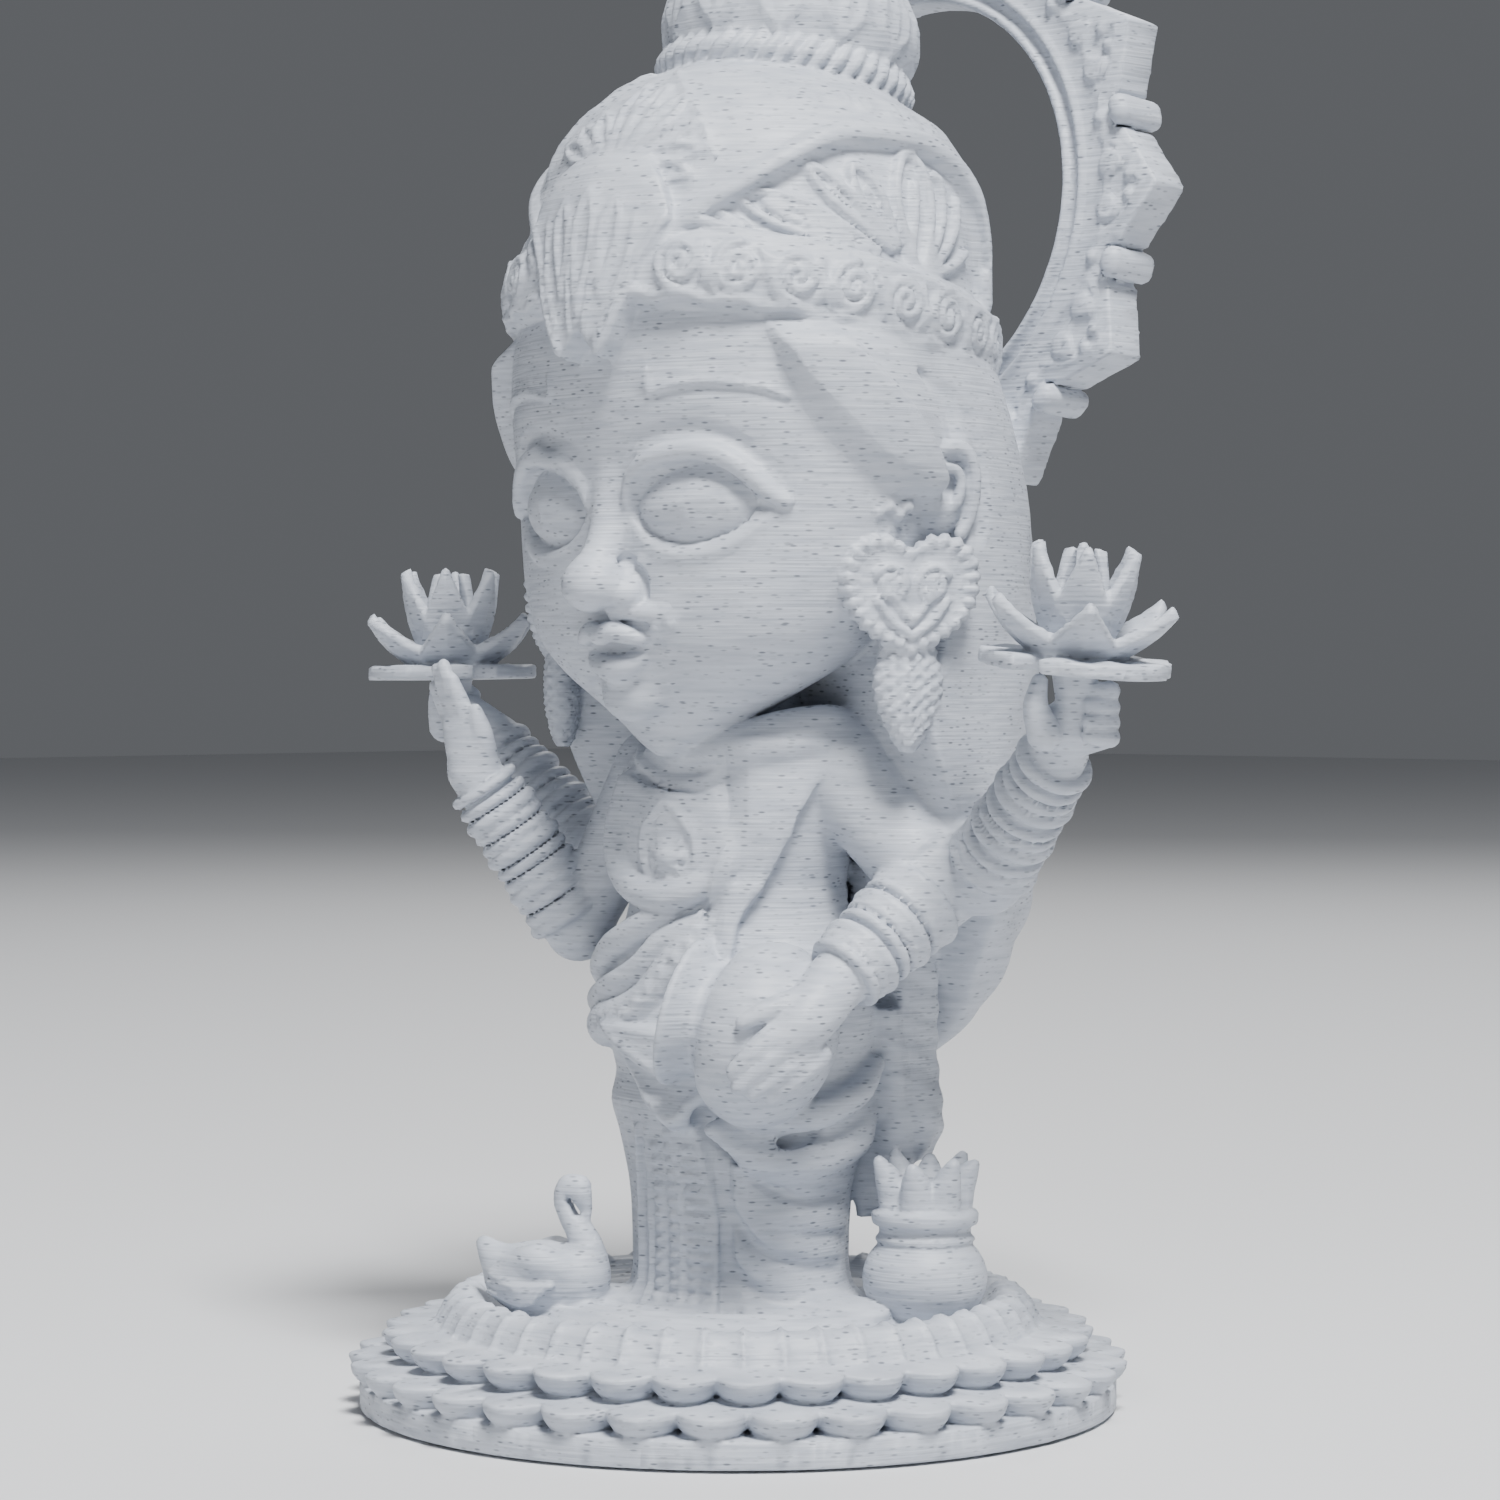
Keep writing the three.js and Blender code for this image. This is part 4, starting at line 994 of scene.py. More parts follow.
@dataclass
class Earring:
    """Heart-shaped plate with two scrolls and a ribbed rim, and a beaded pendant under it."""

    place: Vec3 = (25.7, -1.2, 89.4)
    facing: float = 60
    thick: float = 3.6
    scroll_radius: float = 2.05
    rib_pitch: float = 1.5
    rib_steps: tuple = ((1, 1.2), (0.94, 0.3), (0.8, 0.3))

    def outline(self) -> Array:
        """Gives the heart's outline from its lower point round to it again."""
        right = ((0, -6.4), (3.6, -4.6), (6.6, -1.8), (7.5, 1.4), (7, 4.2), (4.8, 5.8), (2.2, 5.7),
                 (0.5, 4.4))
        curve = smooth_path(right, 4)
        return np.vstack([curve, [(-u, v) for u, v in curve[::-1]]])

    def sculpt(self, clay: Clay, side: Side) -> None:
        """Adds one earring to the clay."""
        at = Placement.turned(self.place, ("x", 90), ("z", self.facing))
        if side is Side.RIGHT:
            at = at.mirrored()
        heart = self.outline()
        corners = [tuple(p) for p in heart[:-1:2]]

        def plate(x: Array, y: Array, z: Array) -> Array:
            """Gives the distance to the heart plate."""
            flat = outline_distance(x, y, corners)
            return np.maximum(flat, np.maximum(-z, z - self.thick + 0.35 + 0.05 * (x**2 + y**2) ** 0.5))

        clay.add(plate, ((-8, -7, 0), (8, 7, self.thick)), 0.2, at)
        front = self.thick - 0.35
        for u, v in evenly(heart, self.rib_pitch):
            rib = [(u * share, v * share, front - drop) for share, drop in self.rib_steps]
            clay.line(at.world(rib), (0.62, 0.6, 0.3), 0.15)

        def draw(flat: Array, radius: float) -> None:
            """Draws a line on the plate's face."""
            clay.line(at.world(np.column_stack([flat, np.full(len(flat), front + 0.05)])), radius, 0.2)

        for way in (-1, 1):
            draw(spiral(self.scroll_radius, way * 1.7, 90 - way * 60) + (way * 2.3, 0.9), 0.44)
            for drop, out in ((-4.6, 3.9), (-3, 2.4)):
                draw(smooth_path(((0, drop), (way * out * 0.6, drop + 1.6), (way * out, drop + 3.8))), 0.42)
        self.pendant(clay, side.value)

    def pendant(self, clay: Clay, side: int) -> None:
        """Adds the drop-shaped cluster of small beads under the heart."""
        drop = Stack((
            (72.4, 0, 0.8, 0.8, 0.8, 0),
            (74, 0, 1.4, 1.8, 1.8, 0),
            (77, 0, 1.9, 3.3, 3.3, 0),
            (80.4, 0, 2, 3.8, 3.8, 0),
            (83, 0, 1.8, 3.2, 3.2, 0),
            (86, 0, 1.6, 2.4, 2.4, 0),
        ), relief=lambda a, z: 0.3 * np.sin(a * 9) * np.sin(z * 4.4))
        at = Placement.turned((26.6, -1.5, 0), ("z", -30))
        if side < 0:
            at = at.mirrored()
        clay.add(drop.distance, ((-3, -5, 72), (3, 5, 86)), 0.3, at)


@dataclass
class Veil:
    """Hair and veil: they start under the crown, spread behind the ears and end in a round tail."""

    stack: Stack = field(init=False)
    keys: tuple = (
        (33, 20.8, 5, 2.6, 3, 0),
        (34.6, 20.6, 7, 2.8, 3.8, 0),
        (37, 20, 9, 3, 4.8, 0),
        (42, 18.8, 16, 3.2, 9, 0),
        (48, 17, 21.4, 3.4, 12.6, 0),
        (56, 15, 27.4, 3.8, 16, 0),
        (66, 13, 28.4, 4.4, 20.4, 0),
        (78, 11, 28.8, 6, 24, 0),
        (88, 9.6, 28.6, 7, 25.4, 0),
        (98, 8, 28.4, 6, 26, 0),
        (108, 6, 28, 6, 25, 0),
        (116, 3.6, 27, 10, 23.8, 0),
        (122, 3, 24, 10, 21, 0),
    )
    forward: tuple = ((40, 0), (56, 3), (66, 8), (76, 10.5), (84, 7), (90, 3), (98, 0))

    def __post_init__(self) -> None:
        """Makes the veil's body from its keys."""
        self.stack = Stack(self.keys, self.folds, self.wrap)

    def folds(self, angle: Array, z: Array) -> Array:
        """Gives the depth of the folds: wide ones at the back, none under the crown."""
        fade = np.clip((106 - z) / 34, 0, 1)
        behind = step_up(np.cos(angle), 0.2, -0.3)
        drift = 0.5 * np.sin(z * 0.07)
        wide = 0.75 * np.cos((angle + drift) * 7) + 0.3 * np.cos((angle - drift) * 15 + z * 0.05)
        return fade * behind * wide

    def wrap(self, x: Array, z: Array, angle: Array) -> Array:
        """Gives how far forward the veil's sides come round the shoulders."""
        table = np.array(self.forward, float)
        reach = eased(table, np.clip(z, 40, 98), 1)
        share = np.clip(1 + 1.4 * np.cos(angle), 0, 1)
        return -reach * (x / 29) ** 2 * share

    def sculpt(self, clay: Clay) -> None:
        """Adds the veil to the clay."""
        clay.add(self.stack.distance, self.stack.box(), 0.9)


@dataclass
class Crown:
    """Turban crown, leaned back: scroll band, dome with side panels, front flap, rope band and topknot."""

    tilt: float = -11
    scrolls: int = 13
    scroll_pitch: float = 13.3
    rope_turns: int = 44
    knot_leaves: int = 12
    seat: Vec3 = (0, 1.3, 115)
    profile: tuple = (
        (25.4, 0.4), (27, 1.4), (27.6, 4), (27.3, 7.6), (26.2, 8.8), (25.8, 12), (25.5, 16), (24.8, 20),
        (23.2, 23.4), (19.4, 28), (15, 30.4), (13.5, 31.4), (14.2, 32.8), (13.4, 34.4), (14, 36),
        (14.4, 38),
        (14.1, 40.6), (12.3, 43.8), (9.3, 46.2), (5, 47.8), (3, 48.6), (2.6, 50.6), (0.4, 52.3),
    )
    arch: tuple = ((17, 5.6), (25, 9.8), (38, 14.1), (49, 18), (62, 21.7), (84, 23.5), (99, 22.8),
                   (109, 20.4), (117, 15), (121, 9.4))
    mm_a_degree: float = 0.445
    flap_middle: float = 2.4
    flap_mm_a_degree: float = 0.47
    flap_fall: float = 0.035
    flap_widths: tuple = ((-5.6, 7.3, 27), (-3.4, 9.6, 27.4), (0.5, 12.9, 28), (4.1, 15, 28.2),
                          (7.9, 19, 28.5), (9.4, 21, 28.6), (13, 18, 28.3), (15.6, 14, 27.4),
                          (17.4, 11, 26))

    def place(self) -> Placement:
        """Gives where the crown stands."""
        return Placement.turned(self.seat, ("x", self.tilt))

    def radius(self, height: Array) -> Array:
        """Reads the crown's radius at a height above its seat."""
        table = np.array(self.profile)
        return np.interp(height, table[:, 1], table[:, 0])

    def point(self, degrees: float, height: float, out: float = 0) -> Vec3:
        """Gives a place on the crown, in the crown's own coordinates."""
        r = float(self.radius(height)) + out
        a = math.radians(degrees)
        return math.sin(a) * r, -math.cos(a) * r, height

    def trace(self, clay: Clay, places: Places, radius: Radii, out: float = -0.1, blend: float = 0.4,
              surface: Surface = Surface.RAISED, both: bool = True) -> None:
        """Draws a line on the crown, and the same one on its other side.

        Args:
            clay: What is sculpted.
            places: Degrees from the front and height above the seat.
            radius: Radius of the line, or radii along it.
            out: How far its middle lies out of the surface.
            blend: Size of the fillet.
            surface: Whether it is raised or carved.
            both: Whether it is mirrored.
        """
        path = np.array([self.point(a, h, out) for a, h in places])
        for side in (1, -1) if both else (1,):
            clay.line(self.place().world(path * (side, 1, 1)), radius, blend, surface)

    def leaf(self, clay: Clay, base: Sequence[float], tip: Sequence[float], half: float, radius: float,
             out: float, both: bool) -> None:
        """Draws a closed, drop-shaped leaf with a midrib on the crown.

        Args:
            clay: What is sculpted.
            base: Degrees and height of its stalk.
            tip: Degrees and height of its tip.
            half: Its half width in millimetres.
            radius: Radius of its outline.
            out: How far the outline's middle lies out of the surface.
            both: Whether it is mirrored.
        """
        scale = np.array((1 / self.mm_a_degree, 1))
        start = np.array(base, float)
        along = (np.array(tip) - start) / scale
        across = np.array((along[1], -along[0])) / np.hypot(*along) * half
        near, far = start + along * 0.3 * scale, start + along * 0.72 * scale
        sides = [(near + way * across * 0.6 * scale, far + way * across * scale) for way in (1, -1)]
        outline = (start, *sides[0], tip, *sides[1][::-1], start)
        self.trace(clay, smooth_path(outline), radius, out, 0.25, both=both)
        if half > 0.9:
            self.trace(clay, (near, far), (radius * 0.5, radius, radius * 0.5), out, 0.25, both=both)

    def flap(self, clay: Clay) -> None:
        """Adds the standing flap in front with its notched tip."""
        widths = np.array(self.flap_widths)
        low, high = self.flap_widths[0][0], self.flap_widths[-1][0]

        def form(x: Array, y: Array, z: Array) -> Array:
            """Gives the distance to the flap, which stands further out towards its tip."""
            angle = np.abs(np.degrees(np.arctan2(x, -y)) - self.flap_middle)
            at = np.clip(z, low, high)
            side = (angle - eased(widths, at, 1)) * self.flap_mm_a_degree
            hem = low + np.minimum(np.abs(angle - 5.8) * 0.54, 3)
            out = np.hypot(x, y) - eased(widths, at, 2)
            front = out + self.flap_fall * angle
            return np.maximum(np.maximum(side, front), np.maximum(np.maximum(hem - z, z - 17.2), -5 - out))

        clay.add(form, ((-12, -34, -6), (14, -20, 18)), 0.3, self.place())

        def draw(places: Places, radius: Radii) -> None:
            """Draws a line on the flap's face through places of degrees from its middle and height."""
            path = []
            for a, h in smooth_path(places):
                r = float(np.interp(h, widths[:, 0], widths[:, 2])) - self.flap_fall * abs(a)
                turn = math.radians(a + self.flap_middle)
                path.append((math.sin(turn) * r, -math.cos(turn) * r, h))
            clay.line(self.place().world(path), radius, 0.2)

        for a, half, foot, tip in ((0, 2.6, -1, 12.5), (-7, 2.2, 1.2, 11.4), (7, 2.2, 1.2, 11.4)):
            wide = foot + 0.62 * (tip - foot)
            draw(((a * 0.8, foot), (a - half, wide), (a * 1.1, tip), (a + half, wide), (a * 0.8, foot)),
                 0.42)
        for a in (-3.6, 3.6, -11.6, 11.6):
            draw(((a * 0.55, -3), (a, 3.4), (a * 1.15, 9.6)), (0.3, 0.42, 0.3))
        for a in (-1, 1):
            draw(((a * 6, -4.8), (a * 8.8, -2.6), (a * 12.4, 1.4), (a * 14.6, 4.6), (a * 20, 9.4)), 0.5)

    def dome(self, clay: Clay) -> None:
        """Adds the dome, its recessed side panels and the ridge that frames them."""
        clay.turn(((0, 0.4), *self.profile), 0.3, self.place())
        heights = np.array(self.arch, float)

        def recess(x: Array, y: Array, z: Array) -> Array:
            """Gives the depth of the side panels under the arched ridge."""
            angle = np.abs(np.degrees(np.arctan2(x, -y)))
            top = np.interp(angle, heights[:, 0], heights[:, 1], left=0, right=0)
            inside = step_up(z, 8.6, 9.6) * step_up(top - z, -0.3, 0.9)
            on_skin = step_up(np.hypot(x, y), 17, 20)
            return -1.1 * inside * on_skin

        clay.swell(recess, ((-31, -31, 7), (31, 31, 26)), self.place())
        self.trace(clay, smooth_path(self.arch), (1.1, 1.5, 1.5, 1.5, 1.2), -0.5, 0.5)
        low = [(a, h - 1.9) for a, h in self.arch[1:-1]]
        self.trace(clay, smooth_path(low), (0.3, 0.7, 0.7, 0.7, 0.4), 0, 0.7, Surface.CARVED)

    def band(self, clay: Clay) -> None:
        """Adds the scrolls on the band and the ridges along its edges."""
        edge = ((16, 8.4), (22, 8.9), (30, 9.6), (44, 8.6), (60, 8.8), (76, 8), (94, 7.4), (108, 7),
                (140, 7.4), (180, 7.6))
        self.trace(clay, smooth_path(edge), 0.6, -0.1, 0.6)
        lower = [(a, 1.3 + 0.3 * math.sin(a * 0.5)) for a in range(14, 181, 4)]
        self.trace(clay, lower, 0.6, 0.1, 0.6)
        for i in range(self.scrolls):
            middle = 27 + i * self.scroll_pitch
            way = 1 if i % 2 else -1
            curl = spiral(2.8, way * 1.9, 90 * way)
            self.trace(clay, [(middle + u * 2, 4.7 + v) for u, v in curl], 0.52, 0.15, 0.3)
            link = ((middle + 4.4, 6.9), (middle + 6.4, 4.6 + way), (middle + 8.6, 2.4))
            self.trace(clay, smooth_path(link), 0.5, 0.1, 0.3)
            leaf = ((middle + 5, 3.4 + way), (middle + 6.8, 5.2 + way), (middle + 8.4, 4.2 + way))
            self.trace(clay, smooth_path(leaf), (0.3, 0.6, 0.3), 0.1, 0.3)

    def panels(self, clay: Clay) -> None:
        """Adds the reliefs inside the side panels: a paisley, branches and tall petals."""
        sunk = -0.85
        for base, tip, half in (
            ((74, 9.8), (38, 13), 1.7),
            ((66, 10.4), (44, 12.6), 0.6),
            ((78, 10.4), (53, 17.6), 1),
            ((80, 11), (65, 18.6), 1.3),
            ((40, 9.8), (29, 10.6), 0.6),
        ):
            self.leaf(clay, base, tip, half, 0.5, sunk, True)
        for petal in (
            ((87, 8.6), (82, 12.4), (78.4, 16.4), (79.4, 20.6), (84, 21.6), (88.4, 19.4), (90.4, 15.4),
             (89.6, 11.4), (87.4, 8.8)),
            ((88, 9), (92.6, 12.4), (95, 16), (94, 19.6), (91.4, 20.4)),
            ((89, 9), (97, 12.4), (101, 15.6), (101.6, 18.6)),
            ((90, 8.8), (100, 11), (107, 13.4)),
            ((84, 10), (84.6, 14), (84.2, 18.4)),
        ):
            self.trace(clay, smooth_path(petal), 0.6, sunk, 0.4)

    def palmette(self, clay: Clay) -> None:
        """Adds the fan of leaves over the flap and the lines on the flap and the dome."""
        for tip in ((-20, 19.5), (-15, 21.4), (-9, 22.9), (0, 26.4), (9, 26.1), (18, 24.5), (24, 21.1),
                    (27, 17.8), (25, 14.8), (20, 12)):
            self.leaf(clay, (3.4 + 0.1 * tip[0], 15.8), tip, 0.95, 0.4, 0.1, False)
        self.trace(clay, smooth_path(((30, 17), (24, 22), (14, 26), (7, 28.4))), 0.4, 0, 0.4)
        for i in range(7):
            middle = 44 + i * 9
            height = 26.6 - abs(middle - 70) * 0.03
            curl = spiral(1.2, 1.3 if i % 2 else -1.3, 90)
            self.trace(clay, [(middle + u * 3, height + v) for u, v in curl], 0.32, -0.05, 0.3)

    def topknot(self, clay: Clay) -> None:
        """Adds the twisted rope band and the leaves round the ball."""
        for i in range(self.rope_turns):
            middle = i / self.rope_turns * 360
            path = ((middle, 31.5), (middle + 3.5, 32.9), (middle + 7, 34.3))
            self.trace(clay, smooth_path(path, 3), 0.62, 0.1, 0.4, both=False)
        for i in range(self.knot_leaves):
            middle = i / self.knot_leaves * 360 + 8
            for spread in (-1, 1):
                leaf = ((middle, 35.4), (middle + spread * 9, 38.2), (middle + spread * 8, 41.4),
                        (middle + 3, 45))
                self.trace(clay, smooth_path(leaf), 0.5, -0.1, 0.5, both=False)
            rib = ((middle, 36.4), (middle + 1, 40), (middle + 3, 44))
            self.trace(clay, smooth_path(rib), 0.4, -0.1, 0.4, both=False)

    def sculpt(self, clay: Clay) -> None:
        """Adds the crown to the clay."""
        self.dome(clay)
        self.band(clay)
        self.panels(clay)
        self.flap(clay)
        self.palmette(clay)
        self.topknot(clay)


@dataclass
class Halo:
    """Toothed ring behind the crown, with scrolls on each tooth and a double knob between two teeth."""

    centre: Vec3 = (0, 27.2, 135)
    lean: float = 4.8
    inner_radius: float = 24
    root_radius: float = 31.6
    tip_radius: float = 37.6
    tooth_foot: float = 1.6
    thick: float = 5.3
    teeth: int = 12

    def sculpt(self, clay: Clay) -> None:
        """Adds the halo to the clay."""
        at = Placement.turned(self.centre, ("x", 90 - self.lean))
        pitch = TAU / self.teeth

        def form(x: Array, y: Array, z: Array) -> Array:
            """Gives the distance to the toothed ring; its front face is at z = 0 and its back at -thick."""
            r = np.hypot(x, y)
            share = np.arctan2(y, x) / pitch
            off = np.abs(share - np.round(share))
            rise = np.clip((0.4 - off) / 0.4, 0, 1)
            foot = self.root_radius + self.tooth_foot * step_up(off, 0.42, 0.36)
            outer = foot + (self.tip_radius - self.root_radius - self.tooth_foot) * rise**1.3
            edge = (r - outer) * 0.8
            dip = 0.5 * step_up(r, 27.6, 26.6)
            face = np.maximum(z + dip, -self.thick - z)
            return np.maximum(np.maximum(edge, self.inner_radius - r), face)

        reach = self.tip_radius
        clay.add(form, ((-reach, -reach, -self.thick), (reach, reach, 0)), 0.4, at)
        for radius, thick, height, surface in (
            (24.6, 0.5, -0.3, Surface.RAISED),
            (25.9, 0.45, -0.3, Surface.CARVED),
            (27, 0.55, -0.1, Surface.RAISED),
            (30.6, 0.3, 0, Surface.RAISED),
        ):
            circle = [(radius * math.cos(a), radius * math.sin(a), height) for a in np.linspace(0, TAU, 97)]
            clay.line(at.world(circle), thick, 0.3, surface)
        for tooth in range(self.teeth):
            angle = tooth * pitch
            turn = np.array([[math.cos(angle), -math.sin(angle)], [math.sin(angle), math.cos(angle)]])
            for way in (-1, 1):
                flat = (spiral(1.5, way * 1.7, 0) + (31, way * 2.3)) @ turn.T
                clay.line(at.world(np.column_stack([flat, np.full(len(flat), 0.15)])), 0.42, 0.2)
                bead = np.array([33.8, way * 1.1]) @ turn.T
                clay.ball(at.world([(*bead, 0)])[0], 0.7, 0.3)
                edge = ((29.4, way * 5.6), (31.8, way * 4.6), (33.8, way * 2.6), (35.6, 0))
                flat = smooth_path(edge, 3) @ turn.T
                clay.line(at.world(np.column_stack([flat, np.zeros(len(flat))])), 0.3, 0.3)
            half = angle + pitch / 2
            for shift in (-0.014, 0.014):
                a = half + shift
                place = (33.1 * math.cos(a), 33.1 * math.sin(a))
                clay.line(at.world([(*place, 0), (*place, -self.thick)]), 1.3, 0.3)
            grain = (30.2 * math.cos(half), 30.2 * math.sin(half), 0)
            clay.ball(at.world([grain])[0], 0.8, 0.3)


@dataclass
class Arms:
    """Four arms with bangles, and their hands."""

    bangle_wire: float = 0.72
    stem_x: float = 47.4
    palm_turn: tuple[float, float] = (0.719, 0.695)  # Cosine and sine of 44 degrees, the photo's angle.

    def finger(self, clay: Clay, places: Places, radii: Sequence[float], blend: float = 0.25) -> None:
        """Adds one bent finger from its knuckle to its tip."""
        clay.line(smooth_path(places, 3), radii, blend)

    def arm(self, clay: Clay, joints: Places, upper: tuple[float, float], lower: tuple[float, float],
            blend: float, cuff: tuple[float, float], shares: Sequence[float]) -> tuple[Array, Array, Array]:
        """Adds an upper arm, and a forearm with bangles round it.

        Args:
            clay: What is sculpted.
            joints: Shoulder, elbow and wrist.
            upper: Radii of the upper arm at its two ends.
            lower: Radii of the forearm at its two ends.
            blend: Size of the fillet at the shoulder.
            cuff: Radii of the bangles at the elbow and at the wrist.
            shares: Where the bangles are, as shares of the forearm.

        Returns:
            Shoulder, elbow and wrist.
        """
        shoulder, elbow, wrist = np.array(joints, float)
        clay.line((shoulder, elbow), upper, blend)
        clay.line((elbow, wrist), lower, 1)
        for i, share in enumerate(shares):
            centre = elbow + (wrist - elbow) * share
            radius = cuff[0] + (cuff[1] - cuff[0]) * share
            wire = self.bangle_wire * (1.15 if i % 3 == 0 else 0.85)
            clay.ring(centre, centre + (wrist - elbow), radius + 0.15, wire, 0.25)
        return shoulder, elbow, wrist

    def blessing(self, clay: Clay) -> None:
        """Adds her right front arm, raised with the palm forward."""
        self.arm(clay, ((-13.4, 0.5, 70), (-20.2, -5.2, 52), (-27.6, -14.6, 69.8)), (4.8, 3.6), (3.7, 3),
                 1.6, (4.1, 3.4), (0.1, 0.17, 0.24, 0.31, 0.38, 0.45, 0.53, 0.6, 0.67, 0.74, 0.82, 0.9))
        clay.curve(((-27.5, -14.6, 69.8), (-28, -15.2, 72.4), (-28.5, -15.8, 75.2)), (2.6, 2.5, 2.1), 0.6)
        clay.curve(((-26.3, -14.6, 70.2), (-26.4, -15.2, 72.6), (-27.2, -15.9, 75.2)), (2.1, 2.1, 1.8), 0.6)
        for knuckle, middle, tip in (
            ((-29.6, -15.6, 74.4), (-30.3, -16.6, 77.2), (-31, -17.4, 79.4)),
            ((-28.7, -16, 74.8), (-29.3, -17.2, 78.4), (-29.9, -18, 81.4)),
            ((-27.7, -16.2, 74.8), (-28.1, -17.4, 78.4), (-28.7, -18.2, 81.8)),
            ((-26.6, -16.1, 74.6), (-26.9, -17.2, 77.6), (-27.5, -18, 80.2)),
        ):
            self.finger(clay, (knuckle, middle, tip), (1.15, 1, 0.75), 0.15)
        self.finger(clay, ((-25.5, -14.8, 71.4), (-24.9, -15.8, 74.2), (-25.2, -16.6, 76.7)),
                    (1.5, 1.2, 0.8))

    def holding(self, clay: Clay) -> None:
        """Adds her left front arm, whose hand lies on the pot."""
        shoulder, elbow, _ = self.arm(
            clay, ((14.2, 1.6, 70.2), (24.6, 5.4, 58), (21.8, -7.6, 48)), (5.5, 4.9), (4.8, 3.3), 1.2,
            (4.9, 3.7), (0.2, 0.27, 0.34, 0.45, 0.53, 0.62, 0.74, 0.82, 0.9))
        clay.ring(shoulder + (elbow - shoulder) * 0.8, elbow, 5.0, 0.35, 0.3)

    def holding_hand(self, clay: Clay) -> None:
        """Adds the hand that lies on the pot, with its fingers together and the thumb up."""
        clay.curve(((21.8, -8, 47.8), (22.5, -10.6, 46.2), (22.4, -13.2, 44.2), (21.4, -15.2, 42.4)),
                   (3.1, 3.2, 3.1, 2.5), 0.4)
        for places in (
            ((22, -15.2, 43.8), (20.5, -17.9, 41.7), (18.1, -19.3, 39)),
            ((22.5, -14.4, 42.6), (21, -17.2, 40.2), (18.4, -18.9, 37.4)),
            ((22.9, -13.2, 41.4), (21.6, -15.9, 39), (19.3, -17.8, 36.7)),
            ((23.1, -11.8, 40.6), (22.2, -14.2, 38.4), (20.4, -16.1, 36.4)),
        ):
            self.finger(clay, places, (1.5, 1.3, 0.95), 0.12)
        self.finger(clay, ((22.3, -12.6, 46.6), (20.8, -16.4, 45.6), (18.8, -18.8, 44.2)), (1.5, 1.25, 0.8),
                    0.15)

    def rear(self, clay: Clay, side: int) -> None:
        """Adds one of the two arms behind, bent up at the side, with the hand under its lotus leaf."""
        self.arm(clay, on_side(((15, 10, 66), (30, 7.2, 59.3), (43.8, 3.2, 72.6)), side), (5, 4.3),
                 (4.2, 3), 1.4, (4.3, 3.3), (0.12, 0.19, 0.26, 0.38, 0.46, 0.54, 0.66, 0.74, 0.82, 0.92))
        clay.line(on_side(((43, 3.2, 73), (46.4, 1.4, 75.4)), side), 3, 0.5)
        clay.line(on_side(((47.8, 0.8, 75), (48, 0.5, 81.6)), side), (1.7, 2.5), 0.4)

        def held(across: float, ahead: float, z: float) -> Vec3:
            """Gives a place round the stem: across the palm, ahead of the stem, and up."""
            c, s = self.palm_turn
            return side * (self.stem_x + c * across + s * ahead), s * across - c * ahead, z

        self.finger(clay, (held(-2.4, 0.8, 74.6), held(-3.4, 1.4, 77.4), held(-3, 1.4, 80)),
                    (1.9, 1.35, 0.9))
        for z, ahead in ((79, 1), (77.3, 1.8), (75.7, 2.2), (74.2, 2)):
            self.finger(clay, (held(1.6, -2.2, z - 0.8), held(4.2, -0.8, z), held(4, 1.4, z),
                               held(2, ahead, z + 0.2)), (1.15, 1.1, 1.05, 0.8), 0.12)

    def sculpt(self, clay: Clay) -> None:
        """Adds the arms to the clay."""
        self.blessing(clay)
        self.holding(clay)
        for side in Side:
            self.rear(clay, side.value)


